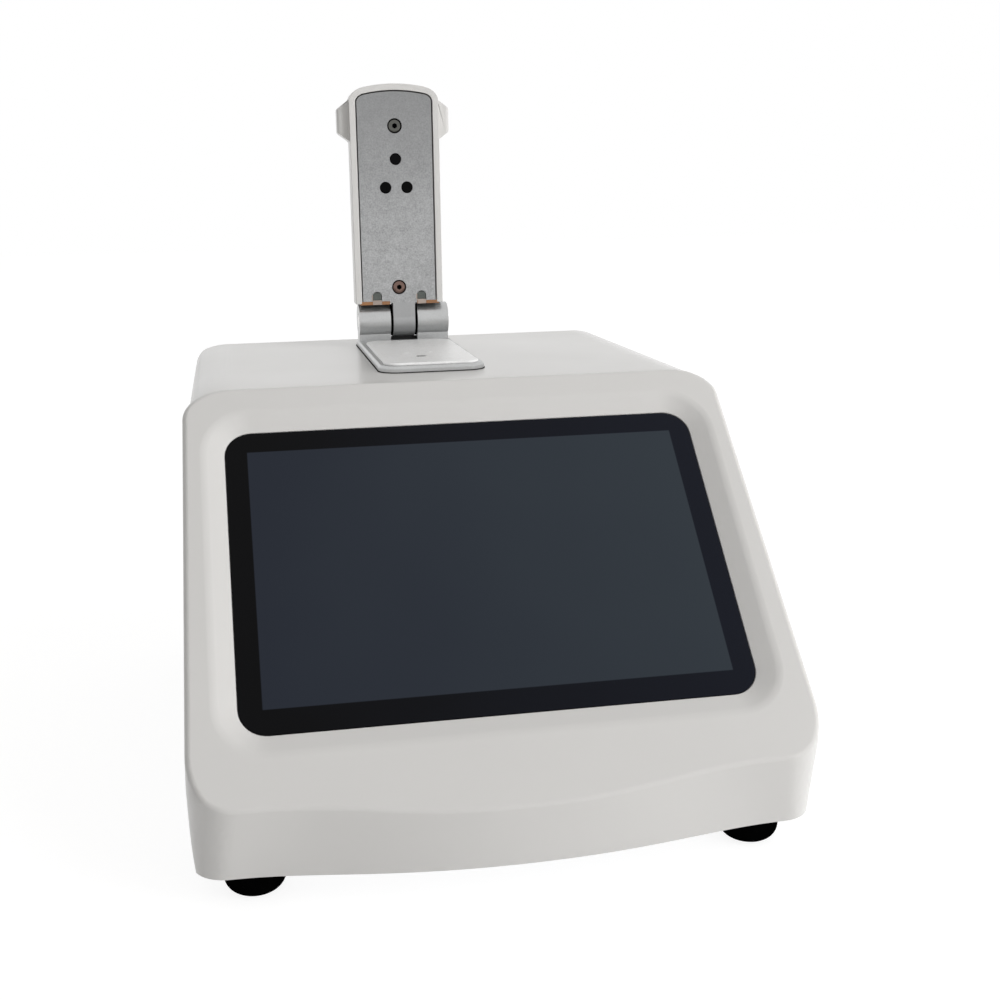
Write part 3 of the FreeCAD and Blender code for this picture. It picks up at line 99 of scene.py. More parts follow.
# Notches at the arm plate's lower edge, from its middle
NOTCH_OFFSET = 0.0139
NOTCH_WIDTH = 0.0057
NOTCH_HEIGHT = 0.0076
NOTCH_DEPTH = 0.0008
NOTCH_CORNER = 0.0013
NOTCH_WALL = 0.00055
NOTCH_FLOOR = 0.0005
SHEET_THICKNESS = 0.00006
NOTCH_SUNK = 0.00032
# Pale strip at each notch's left edge, a painted highlight of its lit wall
NOTCH_HIGHLIGHT_HEIGHT = 0.0034
NOTCH_HIGHLIGHT_SUNK = 0.0003
NOTCH_HIGHLIGHT_SPAN = (-0.0006, 0.0001)

# Film between the notches and the barrels, and the pale tabs under the notches painted as a highlight of the
# leaf's lit lower end
FILM_THICKNESS = 0.0010
FILM_INSET = 0.0003
FILM_OVERHANG = 0.0020
FILM_RISE = 0.0002
FILM_SUNK = 0.0001
TAB_HIGHLIGHT_SUNK = 0.0002
TAB_HIGHLIGHT_SHARE = 1.35
NOTCH_SHARE = 1.3

# Arm screws
HEAD_DEPTH = 0.0022
HEAD_ROUND = 0.0019
SHANK_LENGTH = 0.007
SOCKET_RADIUS = 0.00165
SOCKET_DEPTH = 0.0026
SHANK_SHARE = 0.52
HEAD_SUNK = 0.0001
# Dark discs painted as shade: one behind each head, showing at its rim, and one on each socket's floor
SHADE_DISC_DEPTH = 0.0004
RIM_SHADE_BEHIND = 0.0019
SOCKET_SHADE_BEHIND = 0.0011
SOCKET_SHADE_RADIUS = 0.0016

# Gap on each side of the centre barrel, the dark disc painted as shade in it, and the dark strip painted as
# shade under the barrel
BARREL_GAP = 0.0015
GAP_SHADE_PLAY = 0.0002
GAP_SHADE_SUNK = 0.0004
SHADE_STRIP_WIDTH = 0.003
SHADE_STRIP_PLAY = 0.0001

# Dark line painted as shade round the foot plate
SHADE_LINE_REACH = 0.0004
SHADE_LINE_HEIGHT = 0.0004
SHADE_LINE_CORNER = 0.011
SHADE_LINE_OPENING = -0.003
CUTTER_HEIGHT = 0.002

# Seat of a foot's screw
SEAT_RADIUS = 0.005
SEAT_DEPTH = 0.0015

# Softness of the lit field's edge
LIT_EDGE = 0.00025

# Studio
WHITE = (1.0, 1.0, 1.0, 1.0)
FLOOR_SIZE = 12.0
FLOOR_BOUNCE = (0.88, 0.88, 0.88, 1.0)
FLOOR_SHADOW = (0.26, 0.26, 0.26, 1.0)
FLOOR_GLOW = 0.88
ROOM_TINT = (1.0, 0.99, 0.975, 1.0)
ROOM_LEFT, ROOM_RIGHT, ROOM_BACK = 0.5, 1.5, 1.1
LAMP_AIM = Vector((0.0, 0.0, 0.1))
SENSOR_WIDTH = 36.0


# Sizes and colours that a user would change

def colour_setting(label, about, value):
    """A colour in the panel."""
    return bpy.props.FloatVectorProperty(
        name=label, description=about, subtype="COLOR", size=3, min=0, max=1, default=value)


def length_setting(label, about, value, low, high):
    """A length in the panel."""
    return bpy.props.FloatProperty(
        name=label, description=about, subtype="DISTANCE", unit="LENGTH", default=value, min=low, max=high)


def power_setting(label, about, value):
    """A lamp's power in the panel."""
    return bpy.props.FloatProperty(name=label, description=about, subtype="POWER", default=value, min=0)


class InstrumentColours(bpy.types.PropertyGroup):
    """Base colours of the finishes."""
    housing: colour_setting("Housing", "Gloss paint of the covers and the arm", (0.738, 0.728, 0.712))
    silver: colour_setting("Silver", "Satin metal of the barrels and the foot plate", (0.53, 0.535, 0.535))
    arm_silver: colour_setting("Arm plate", "Bead-blasted metal of the arm's plate", (0.43, 0.434, 0.438))
    sample_silver: colour_setting(
        "Sample plate", "Pale blasted metal round the lower pedestal", (0.985, 0.985, 0.98))
    screw_steel: colour_setting("Screw steel", "Dark steel of the arm's upper screw", (0.11, 0.11, 0.10))
    screw_bronze: colour_setting("Screw bronze", "Brown steel of the arm's lower screw", (0.19, 0.125, 0.105))
    # Painted highlight: the lit lower end of the leaf under each notch, and the lit left wall of each notch.
    tab: colour_setting("Tab", "Pale tabs under the arm plate's notches", (0.47, 0.39, 0.34))
    # The rubber colour also darkens the discs and sheets painted as shade at the screws, in the hinge's gaps
    # and round the foot plate.
    rubber: colour_setting("Rubber", "Feet, rest pads and washers", (0.0015, 0.0015, 0.0015))
    glass: colour_setting("Glass, left", "Black print behind the glass at its left", (0.0008, 0.0008, 0.0014))
    # Painted sheen: the black print's colour at the right is lighter than the print itself.
    glass_painted_sheen: colour_setting(
        "Glass, right", "Black print behind the glass at its right", (0.0075, 0.0092, 0.0165))
    # The lit field's glow is the display's own; its lightening from the left colour to the right one is
    # painted sheen.
    screen_dark: colour_setting("Screen, left", "The lit field at its left", (0.0165, 0.0205, 0.0300))
    screen_light: colour_setting("Screen, right", "The lit field at its right", (0.0285, 0.0365, 0.0455))
    film: colour_setting("Film", "Amber film on the arm's lower edge", (0.35, 0.142, 0.036))


class InstrumentSizes(bpy.types.PropertyGroup):
    """Small rounds and textures of the finished pieces."""
    cover_round: length_setting(
        "Cover edge round", "Round at the recess's edge by the glass", 0.00035, 0.0001, 0.001)
    slope_edge: length_setting(
        "Slope edge", "Where the slope meets the deck, from the middle to the back", -0.0251755, -0.1, 0.0)
    recess_depth: length_setting(
        "Recess depth", "How deep the glass lies under the slope", 0.0045, 0.001, 0.01)
    recess_roll: length_setting(
        "Recess roll", "Round where the bezel falls into the recess", 0.0022, 0.0002, 0.005)
    recess_half_width: length_setting(
        "Recess, half width", "Half the width of the recess, with a little to spare", 0.1305, 0.1, 0.14)
    metal_round: length_setting(
        "Metal edge round", "Broken edge of plates and barrels", 0.00025, 0.00005, 0.001)
    lit_half_width: length_setting(
        "Lit field, half width", "Half the width of the lit field", 0.10848, 0.05, 0.15)
    lit_half_height: length_setting(
        "Lit field, half height", "Half the height of the lit field", 0.0678, 0.03, 0.1)
    lit_drop: length_setting(
        "Lit field, drop", "From the slope's upper edge down to the lit field's middle", 0.1034, 0.05, 0.2)
    foot_radius: length_setting("Foot radius", "Radius of a rubber foot", 0.014, 0.008, 0.02)
    foot_round: length_setting("Foot round", "Round at the bottom of a rubber foot", 0.0075, 0.002, 0.0085)
    screw_radius: length_setting(
        "Screw head radius", "Head radius of the arm's two screws", 0.0042, 0.002, 0.006)
    pad_rise: length_setting(
        "Pad rise", "How much further the rest pads stand out than their solids", 0.00035, 0.0, 0.0004)
    film_height: length_setting(
        "Film height", "Height of the amber strips over the barrels", 0.0021, 0.001, 0.004)


class InstrumentStudio(bpy.types.PropertyGroup):
    """Camera and lamps."""
    camera_place: bpy.props.FloatVectorProperty(
        name="Camera place", description="Where the camera stands",
        subtype="TRANSLATION", unit="LENGTH", size=3, default=(-0.111596, -0.683617, 0.305099))
    camera_turn: bpy.props.FloatVectorProperty(
        name="Camera turn", description="Direction of the camera",
        subtype="EULER", unit="ROTATION", size=3,
        default=(math.radians(77.333), math.radians(1.1348), math.radians(-9.9312)))
    camera_lens: bpy.props.FloatProperty(
        name="Lens", description="Focal length on a 36 mm sensor", default=46.782, min=10, max=200)
    camera_shift: bpy.props.FloatVectorProperty(
        name="Shift", description="Small shift of the frame", size=2, default=(0.04175, -0.02506))
    key_power: power_setting("Key power", "Large soft lamp high at the right", 35.0)
    side_power: power_setting("Side power", "Soft lamp low at the front right", 33.0)
    fill_level: bpy.props.FloatProperty(
        name="Fill level", description="Soft light from all around", default=0.385, min=0, max=2)
    glint_power: power_setting("Glint power", "Small lamp for bright glints in the gloss", 0.5)


# Handling of meshes

def rest():
    """Leaves edit mode with nothing selected."""
    if bpy.context.object is not None and bpy.context.object.mode != "OBJECT":
        bpy.ops.object.mode_set(mode="OBJECT")
    bpy.ops.object.select_all(action="DESELECT")


def take(piece):
    """Selects one piece alone and makes it the active one."""
    rest()
    piece.select_set(True)
    bpy.context.view_layer.objects.active = piece


def edit(piece, kind="EDGE"):
    """Opens a piece in edit mode with nothing selected."""
    take(piece)
    bpy.ops.object.mode_set(mode="EDIT")
    bpy.ops.mesh.select_mode(type=kind)
    bpy.ops.mesh.select_all(action="DESELECT")


def pick_faces(piece, test):
    """Selects the faces whose middle and normal pass a test, and opens edit mode."""
    edit(piece, "FACE")
    bpy.ops.object.mode_set(mode="OBJECT")
    for face in piece.data.polygons:
        face.select = test(face.center, face.normal)
    bpy.ops.object.mode_set(mode="EDIT")


def pick_edges(piece, test):
    """Selects the edges whose two ends pass a test, and opens edit mode."""
    edit(piece)
    bpy.ops.object.mode_set(mode="OBJECT")
    points = piece.data.vertices
    for edge in piece.data.edges:
        edge.select = all(test(points[index].co) for index in edge.vertices)
    bpy.ops.object.mode_set(mode="EDIT")


def bevel(width, segments):
    """Rounds the selected edges at their full width and leaves edit mode."""
    bpy.ops.mesh.bevel(offset=width, segments=segments, affect="EDGES", clamp_overlap=False)
    bpy.ops.object.mode_set(mode="OBJECT")


def break_edges(piece, width):
    """Rounds every sharp edge of a piece."""
    edit(piece)
    bpy.ops.mesh.edges_select_sharp(sharpness=SHARP_ANGLE)
    bevel(width, 2)


def sink(piece, test, border, move):
    """Insets the faces that pass a test and moves them along."""
    pick_faces(piece, test)
    bpy.ops.mesh.inset(thickness=border, depth=0.0)
    bpy.ops.mesh.extrude_region_move(TRANSFORM_OT_translate={"value": move})
    bpy.ops.object.mode_set(mode="OBJECT")


def cut_out(piece, cutter, label):
    """Takes a cutter's shape out of a piece and removes the cutter."""
    take(piece)
    cut = piece.modifiers.new(label, "BOOLEAN")
    cut.operation = "DIFFERENCE"
    cut.solver = "EXACT"
    cut.object = cutter
    bpy.ops.object.modifier_apply(modifier=cut.name)
    bpy.data.objects.remove(cutter)


def smooth(piece, degrees=30.0):
    """Smooth shading up to an angle, with flat faces kept flat."""
    take(piece)
    bpy.ops.object.shade_smooth_by_angle(angle=math.radians(degrees))
    modifier = piece.modifiers.new("Even normals", "WEIGHTED_NORMAL")
    modifier.keep_sharp = True
    modifier.weight = 100
    bpy.ops.object.modifier_apply(modifier=modifier.name)


def settle(name, size=(1.0, 1.0, 1.0)):
    """Names the piece just added, gives it its size and puts its place into its mesh."""
    piece = bpy.context.object
    piece.name = name
    piece.scale = size
    take(piece)
    bpy.ops.object.transform_apply(location=True, rotation=True, scale=True)
    return piece


def block(name, spot, size):
    """A box round a spot."""
    rest()
    bpy.ops.mesh.primitive_cube_add(size=1.0, location=spot)
    return settle(name, size)


def bar(name, spot, radius, depth, turn=ALONG_Y, sides=48):
    """A round or many-sided bar round a spot."""
    rest()
    bpy.ops.mesh.primitive_cylinder_add(vertices=sides, radius=radius, depth=depth,
                                        location=spot, rotation=turn)
    return settle(name)


def merged_copy(node, name):
    """A copy of a frame node with its loose triangles merged and its flat faces joined."""
    piece = bpy.data.objects.new(name, nodes[node].data.copy())
    bpy.context.scene.collection.objects.link(piece)
    edit(piece, "VERT")
    bpy.ops.mesh.select_all(action="SELECT")
    bpy.ops.mesh.remove_doubles(threshold=MERGE_DISTANCE)
    bpy.ops.mesh.dissolve_limited(angle_limit=FLAT_ANGLE)
    bpy.ops.object.mode_set(mode="OBJECT")
    piece.data.materials.clear()
    return piece


def place(piece, node, finish=None, replaced=()):
    """Gives a finished piece its material and its body, and hides the frame nodes it replaces."""
    slot = slot_of_node[node]
    piece.data.materials.clear()
    piece.data.materials.append(finishes[finish or slot])
    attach(piece, body_of_node[node])
    for other in replaced:
        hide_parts(other)


def skin(node, width=0.0, finish=None, split=False):
    """A frame node's finished skin, with its edges broken and its curves smooth."""
    piece = merged_copy(node, node + "_skin")
    if split:
        edit(piece, "VERT")
        bpy.ops.mesh.select_all(action="SELECT")
        bpy.ops.mesh.vert_connect_concave()
    if width:
        break_edges(piece, width)
    smooth(piece)
    place(piece, node, finish, [node])


def own_copy(piece, name, shift=(0.0, 0.0, 0.0)):
    """Another of a repeated piece, with its own mesh."""
    other = bpy.data.objects.new(name, piece.data.copy())
    bpy.context.scene.collection.objects.link(other)
    other.data.transform(Matrix.Translation(Vector(shift)))
    return other


def middle_of(node):
    """The middle of a frame node's box."""
    low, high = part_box(node)
    return (low + high) / 2


# Shader nodes

def feed(tree, value, socket):
    """Links a socket to an input, or sets the input to a number, a vector or a colour."""
    if isinstance(value, bpy.types.NodeSocket):
        tree.links.new(value, socket)
    else:
        socket.default_value = value


def add(tree, kind, inputs=None, **settings):
    """A shader node with its settings made and its inputs fed."""
    node = tree.nodes.new("ShaderNode" + kind)
    for label, value in settings.items():
        setattr(node, label, value)
    for label, value in (inputs or {}).items():
        feed(tree, value, node.inputs[label])
    return node


def maths(tree, operation, first, second=None, clamp=False):
    """One or two values put through a sum."""
    inputs = {0: first} if second is None else {0: first, 1: second}
    return add(tree, "Math", inputs, operation=operation, use_clamp=clamp).outputs["Value"]


def noise(tree, places, scale, detail=2.0, roughness=0.5):
    """Noise over the object; its scale may be a socket."""
    inputs = {"Vector": places, "Scale": scale, "Detail": detail, "Roughness": roughness}
    return add(tree, "TexNoise", inputs).outputs["Fac"]


def spread(tree, value, given, wanted, shape="LINEAR"):
    """Spreads a value from one range over another."""
    inputs = {"Value": value, "From Min": given[0], "From Max": given[1],
              "To Min": wanted[0], "To Max": wanted[1]}
    return add(tree, "MapRange", inputs, interpolation_type=shape).outputs["Result"]


def noise_range(tree, value, low, high):
    """Spreads a noise, which runs from about 0.3 to 0.7, over a new range."""
    return spread(tree, value, (0.3, 0.7), (low, high))


def height_range(tree, places, heights, wanted):
    """A value that drifts between two heights on the object."""
    height = add(tree, "SeparateXYZ", {"Vector": places}).outputs["Z"]
    return spread(tree, height, heights, wanted, "SMOOTHSTEP")


def blend(tree, share, first, second):
    """Blends two colours, which may be sockets."""
    node = add(tree, "Mix", {"Factor": share}, data_type="RGBA")
    for label, colour in (("A", first), ("B", second)):
        feed(tree, colour if isinstance(colour, bpy.types.NodeSocket) else (*colour, 1.0), node.inputs[label])
    return node.outputs["Result"]


def scaled_colour(tree, colour, factor):
    """A colour made lighter or darker."""
    return add(tree, "VectorMath", {0: colour, "Scale": factor}, operation="SCALE").outputs["Vector"]


# Shader node groups

def new_group(name, inputs, outputs):
    """An empty shader group with named sockets, with its inner ends."""
    group = groups[name] = bpy.data.node_groups.new(name, "ShaderNodeTree")
    for label, kind, value in inputs:
        socket = group.interface.new_socket(name=label, in_out="INPUT", socket_type="NodeSocket" + kind)
        if value is not None:
            socket.default_value = value
    for label, kind in outputs:
        group.interface.new_socket(name=label, in_out="OUTPUT", socket_type="NodeSocket" + kind)
    return group, group.nodes.new("NodeGroupInput").outputs, group.nodes.new("NodeGroupOutput").inputs


def tone_group():
    """Drifts a colour's brightness slowly over the surface."""
    group, given, result = new_group(
        "Tone drift",
        [("Vector", "Vector", None), ("Color", "Color", None),
         ("Scale", "Float", 20.0), ("Amount", "Float", 0.03)],
        [("Color", "Color")])
    drift = noise(group, given["Vector"], given["Scale"], 3.0)
    low = maths(group, "SUBTRACT", 1.0, given["Amount"])
    high = maths(group, "ADD", 1.0, given["Amount"])
    shade = scaled_colour(group, given["Color"], noise_range(group, drift, low, high))
    feed(group, shade, result["Color"])


def gloss_group():
    """Drifts roughness between two values, as handling and polish do."""
    group, given, result = new_group(
        "Gloss drift",
        [("Vector", "Vector", None), ("Scale", "Float", 30.0), ("Low", "Float", 0.2), ("High", "Float", 0.3)],
        [("Roughness", "Float")])
    drift = noise(group, given["Vector"], given["Scale"], 4.0, 0.6)
    feed(group, noise_range(group, drift, given["Low"], given["High"]), result["Roughness"])


def grain_group():
    """Fine grain in two sizes, as a height and a mask."""
    group, given, result = new_group(
        "Fine grain",
        [("Vector", "Vector", None), ("Scale", "Float", 1500.0), ("Mix", "Float", 0.4)],
        [("Height", "Float"), ("Mask", "Float")])
    fine = noise(group, given["Vector"], given["Scale"], 1.0)
    wide = noise(group, given["Vector"], maths(group, "MULTIPLY", given["Scale"], 0.3))
    wide_part = maths(group, "MULTIPLY", wide, given["Mix"])
    fine_part = maths(group, "MULTIPLY", fine, maths(group, "SUBTRACT", 1.0, given["Mix"]))
    height = maths(group, "ADD", fine_part, wide_part)
    feed(group, height, result["Height"])
    feed(group, noise_range(group, height, 0.0, 1.0), result["Mask"])


def lines_group():
    """Lines drawn along one direction, as a height and a mask."""
    group, given, result = new_group(
        "Drawn lines",
        [("Vector", "Vector", None), ("Stretch", "Vector", (40.0, 2500.0, 2500.0))],
        [("Height", "Float"), ("Mask", "Float")])
    stretched = add(group, "VectorMath", {0: given["Vector"], 1: given["Stretch"]}, operation="MULTIPLY")
    height = noise(group, stretched.outputs["Vector"], 1.0, 3.0)
    feed(group, height, result["Height"])
    feed(group, noise_range(group, height, 0.0, 1.0), result["Mask"])


def use_group(tree, name, places, **values):
    """Places a shader group in a material with its own values."""
    return add(tree, "Group", {"Vector": places, **values}, node_tree=groups[name]).outputs


# Materials

def empty_tree(owner):
    """The cleared node tree of a material or a world."""
    owner.use_nodes = True
    owner.node_tree.nodes.clear()
    return owner.node_tree


def new_material(name, colour, roughness, metallic=0.0):
    """A material with a Principled shader, and its Object coordinates."""
    material = bpy.data.materials.new(name)
    material.diffuse_color = (*colour, 1.0)
    tree = empty_tree(material)
    output = add(tree, "OutputMaterial")
    shader = add(tree, "BsdfPrincipled", {
        "Base Color": (*colour, 1.0), "Roughness": roughness, "Metallic": metallic})
    feed(tree, shader.outputs["BSDF"], output.inputs["Surface"])
    return material, tree, shader.inputs, add(tree, "TexCoord").outputs["Object"]


def tone(tree, places, colour, scale, amount):
    """A colour with the tone drift."""
    return use_group(tree, "Tone drift", places, Color=(*colour, 1.0), Scale=scale, Amount=amount)["Color"]


def add_gloss(tree, shader, places, scale, low, high):
    """Feeds Roughness from the gloss drift."""
    drift = use_group(tree, "Gloss drift", places, Scale=scale, Low=low, High=high)
    feed(tree, drift["Roughness"], shader["Roughness"])


def add_bump(tree, shader, height, distance, strength=1.0):
    """Feeds Normal from a height."""
    bump = add(tree, "Bump", {"Strength": strength, "Distance": distance, "Height": height})
    feed(tree, bump.outputs["Normal"], shader["Normal"])


def grain(tree, places, scale, mix=0.4):
    """The fine grain at a scale."""
    return use_group(tree, "Fine grain", places, Scale=scale, Mix=mix)


def plain_finish(name, colour, low, high, metallic=0.0, amount=0.05, scale=60.0, grain_scale=1500.0,
                 depth=0.00001, coat=0.0, specular=0.5):
    """A moulded, cast or plated finish with tone, gloss and grain."""
    material, tree, shader, places = new_material(name, colour, low, metallic)
    feed(tree, tone(tree, places, colour, scale, amount), shader["Base Color"])
    add_gloss(tree, shader, places, scale, low, high)
    add_bump(tree, shader, grain(tree, places, grain_scale)["Height"], depth)
    shader["Coat Weight"].default_value = coat
    shader["Specular IOR Level"].default_value = specular
    return material


def gloss_paint(colour):
    """Warm white gloss with the faint ripple of sprayed paint."""
    material, tree, shader, places = new_material("Gloss white", colour, 0.32)
    feed(tree, tone(tree, places, colour, 9.0, 0.012), shader["Base Color"])
    add_gloss(tree, shader, places, 14.0, 0.28, 0.38)
    add_bump(tree, shader, grain(tree, places, 420.0, 0.6)["Height"], 0.000012, 0.35)
    shader["Specular IOR Level"].default_value = 0.3
    shader["Coat Weight"].default_value = 0.3
    shader["Coat Roughness"].default_value = 0.035
    shader["Coat IOR"].default_value = 1.5
    return material


def fade_specks_and_paint_shade(tree, places, specks):
    """The arm plate's specks fade upwards and its barrel has next to none; the plate is also darkened upwards
    with painted shade.
    """
    barrel = height_range(tree, places, BARREL_TOP, (0.12, 1.0))
    upper = height_range(tree, places, SPECK_FADE, (1.0, 0.45))
    strength = maths(tree, "MULTIPLY", barrel, upper)
    lifted = maths(tree, "MULTIPLY", maths(tree, "SUBTRACT", specks, 1.0), strength)
    # Painted shade: the plate is darkened towards its top.
    painted_shade = height_range(tree, places, PAINTED_SHADE_HEIGHTS, (1.0, 0.66))
    return maths(tree, "MULTIPLY", maths(tree, "ADD", lifted, 1.0), painted_shade)


def blasted_metal(name, colour, speckle, low, high, depth=0.00001, metallic=0.82, fade=None):
    """Bead-blasted aluminium with light and dark specks; a given fade may change the specks and paint shade
    over them.
    """
    material, tree, shader, places = new_material(name, colour, low, metallic)
    base = tone(tree, places, colour, 24.0, 0.03)
    texture = grain(tree, places, 1100.0, 0.35)
    specks = spread(tree, texture["Mask"], (0.0, 1.0), (1.0 - speckle, 1.0 + speckle))
    if fade:
        specks = fade(tree, places, specks)
    feed(tree, scaled_colour(tree, base, specks), shader["Base Color"])
    add_gloss(tree, shader, places, 90.0, low, high)
    add_bump(tree, shader, texture["Height"], depth)
    return material


def drawn_metal(name, colour, stretch, low, high, depth, metallic=1.0):
    """Turned, rolled or brushed metal with fine lines."""
    material, tree, shader, places = new_material(name, colour, low, metallic)
    feed(tree, tone(tree, places, colour, 45.0, 0.05), shader["Base Color"])
    add_gloss(tree, shader, places, 200.0, low, high)
    add_bump(tree, shader, use_group(tree, "Drawn lines", places, Stretch=stretch)["Height"], depth, 0.6)
    return material


def circuit_board():
    """Solder mask over copper tracks."""
    mask = (0.012, 0.085, 0.035)
    material, tree, shader, places = new_material("Circuit board", mask, 0.35)
    turned = add(tree, "Mapping", {"Vector": places, "Rotation": (0.0, 0.0, math.radians(45))})
    tracks = add(tree, "TexVoronoi", {"Vector": places, "Scale": 170.0},
                 distance="CHEBYCHEV", feature="DISTANCE_TO_EDGE")
    pads = add(tree, "TexVoronoi", {"Vector": turned.outputs["Vector"], "Scale": 420.0})
    edge = maths(tree, "LESS_THAN", tracks.outputs["Distance"], 0.09)
    dots = maths(tree, "LESS_THAN", pads.outputs["Distance"], 0.16)
    lines = blend(tree, edge, mask, (0.03, 0.16, 0.06))
    feed(tree, blend(tree, dots, lines, (0.42, 0.40, 0.34)), shader["Base Color"])
    feed(tree, noise_range(tree, edge, 0.30, 0.42), shader["Roughness"])
    add_bump(tree, shader, grain(tree, places, 900.0)["Height"], 0.00002)
    return material


def fibre_jacket():
    """Braided sheath of the optical fibre."""
    colour = (0.03, 0.03, 0.035)
    material, tree, shader, places = new_material("Fibre sheath", colour, 0.5)
    feed(tree, tone(tree, places, colour, 120.0, 0.15), shader["Base Color"])
    add_gloss(tree, shader, places, 160.0, 0.42, 0.58)
    braid = add(tree, "TexWave", {"Vector": places, "Scale": 260.0, "Distortion": 1.5},
                bands_direction="DIAGONAL")
    add_bump(tree, shader, braid.outputs["Fac"], 0.0001)
    return material


def slope_places(tree, places, sizes):
    """Coordinates on the slope: across, up along the slope, and out of it."""
    turn = Matrix.Rotation(math.radians(-45), 3, "X")
    edge = Vector((0.0, sizes.slope_edge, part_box("front_cover")[1].z))
    inputs = {"Vector": places, "Rotation": (math.radians(-45), 0.0, 0.0), "Location": -(turn @ edge)}
    return add(tree, "Mapping", inputs).outputs["Vector"]


def touch_glass(colours, sizes):
    """Black-printed glass with the panel's dim light in its window; both grow lighter towards the right with
    a painted sheen.
    """
    material, tree, shader, places = new_material("Touch glass", colours.glass, 0.06)
    slope = slope_places(tree, places, sizes)
    parts = add(tree, "SeparateXYZ", {"Vector": slope}).outputs
    across = maths(tree, "ABSOLUTE", parts["X"])
    along = maths(tree, "ABSOLUTE", maths(tree, "ADD", parts["Y"], sizes.lit_drop))
    masks = []
    for reach, half in ((across, sizes.lit_half_width), (along, sizes.lit_half_height)):
        left = maths(tree, "SUBTRACT", half + LIT_EDGE, reach)
        masks.append(maths(tree, "DIVIDE", left, 2 * LIT_EDGE, clamp=True))
    window = maths(tree, "MULTIPLY", *masks)
    # Painted sheen: a ramp that lightens the print and the lit field towards the right.
    sheen_ramp = spread(tree, parts["X"], (-sizes.lit_half_width, sizes.lit_half_width), (0.0, 1.0))
    sway = noise_range(tree, noise(tree, slope, 9.0), -0.12, 0.12)
    share = maths(tree, "ADD", sheen_ramp, sway, clamp=True)
    light = blend(tree, share, colours.screen_dark, colours.screen_light)
    feed(tree, blend(tree, window, (0.0, 0.0, 0.0), light), shader["Emission Color"])
    border = maths(tree, "SUBTRACT", 1.0, window)
    base = tone(tree, places, colours.glass, 30.0, 0.1)
    # The black print is painted lighter towards the right as a sheen.
    painted_sheen_share = maths(tree, "MULTIPLY", share, border)
    feed(tree, blend(tree, painted_sheen_share, base, colours.glass_painted_sheen), shader["Base Color"])
    add_gloss(tree, shader, places, 35.0, 0.03, 0.09)
    shader["Emission Strength"].default_value = 1.0
    shader["Specular IOR Level"].default_value = 0.08
    return material


def make_finishes(colours, sizes):
    """Builds one material for each finish."""
    fine_lines = (900.0, 900.0, 900.0)
    finishes["gloss_white"] = gloss_paint(colours.housing)
    # The arm plate's finish has painted shade that darkens it towards its top.
    finishes["blasted_silver"] = blasted_metal("Blasted silver", colours.arm_silver, 0.24, 0.42, 0.52,
                                               0.00002, fade=fade_specks_and_paint_shade)
    finishes["pale_silver"] = blasted_metal("Pale silver", colours.sample_silver, 0.08, 0.34, 0.42,
                                            0.00002, 0.16)
    # Painted shade: the hinge leaf behind the plate and the sheet in each notch are darker than their metal.
    finishes["shaded_zinc"] = blasted_metal("Shaded zinc", (0.125, 0.135, 0.125), 0.16, 0.4, 0.5)
    # Painted shade: the notch walls are dark.
    finishes["notch_walls"] = plain_finish("Notch walls", (0.11, 0.115, 0.11), 0.4, 0.5, amount=0.06,
                                           grain_scale=900.0, specular=0.3)
    # Painted highlight: the pale tabs and the pale strips at the notches' left edges.
    finishes["pale_tab"] = plain_finish("Painted highlight", colours.tab, 0.35, 0.5, amount=0.15,
                                        grain_scale=700.0, specular=0.3)
    finishes["screw_steel"] = drawn_metal("Screw steel", colours.screw_steel, fine_lines,
                                          0.14, 0.24, 0.000006)
    finishes["screw_bronze"] = drawn_metal("Screw bronze", colours.screw_bronze, fine_lines,
                                           0.14, 0.24, 0.000006)
    finishes["satin_silver"] = blasted_metal("Satin silver", colours.silver, 0.05, 0.30, 0.38)
    # Black rubber of the feet, also used for the dark pieces painted as shade.
    finishes["rubber_black"] = plain_finish("Black rubber", colours.rubber, 0.62, 0.8, amount=0.2,
                                            grain_scale=900.0, depth=0.00005, specular=0.0)
    finishes["pad_rubber"] = plain_finish("Pad rubber", colours.rubber, 0.22, 0.32, amount=0.2,
                                          grain_scale=900.0, depth=0.00002, specular=0.05)
    finishes["dark_glass"] = plain_finish("Window glass", (0.0015, 0.0015, 0.002), 0.1, 0.16, amount=0.1,
                                          grain_scale=60.0, depth=0.000001, specular=0.06)
    finishes["touch_glass"] = touch_glass(colours, sizes)
    finishes["display"] = plain_finish("Display panel", (0.02, 0.024, 0.03), 0.25, 0.4, amount=0.1,
                                       grain_scale=2500.0)
    finishes["steel"] = drawn_metal("Turned steel", (0.55, 0.54, 0.53), fine_lines, 0.16, 0.28, 0.000006)
    finishes["brass"] = drawn_metal("Brass", (0.62, 0.42, 0.16), (60.0, 1800.0, 1800.0), 0.22, 0.36, 0.00001)
    finishes["sheet_metal"] = drawn_metal("Plated sheet", (0.50, 0.51, 0.52), (30.0, 1400.0, 1400.0),
                                          0.30, 0.42, 0.00001, 0.9)
    finishes["circuit_board"] = circuit_board()
    finishes["black_plastic"] = plain_finish("Black plastic", (0.018, 0.018, 0.019), 0.38, 0.5, amount=0.1,
                                             grain_scale=1600.0, depth=0.00003)
    finishes["cast_metal"] = plain_finish("Cast metal", (0.36, 0.37, 0.38), 0.45, 0.62, 0.85, amount=0.08,
                                          grain_scale=700.0, depth=0.00006)
    finishes["fibre_sheath"] = fibre_jacket()
    # Also used for the dark strip painted as shade under the centre barrel.
    finishes["foam"] = plain_finish("Foam", (0.02, 0.02, 0.021), 0.85, 0.95, amount=0.25,
                                    grain_scale=2600.0, depth=0.0002)
    finishes["amber_film"] = plain_finish("Amber film", colours.film, 0.15, 0.3, amount=0.2,
                                          grain_scale=500.0, coat=0.6)


# Operators, one for each piece or group of like pieces

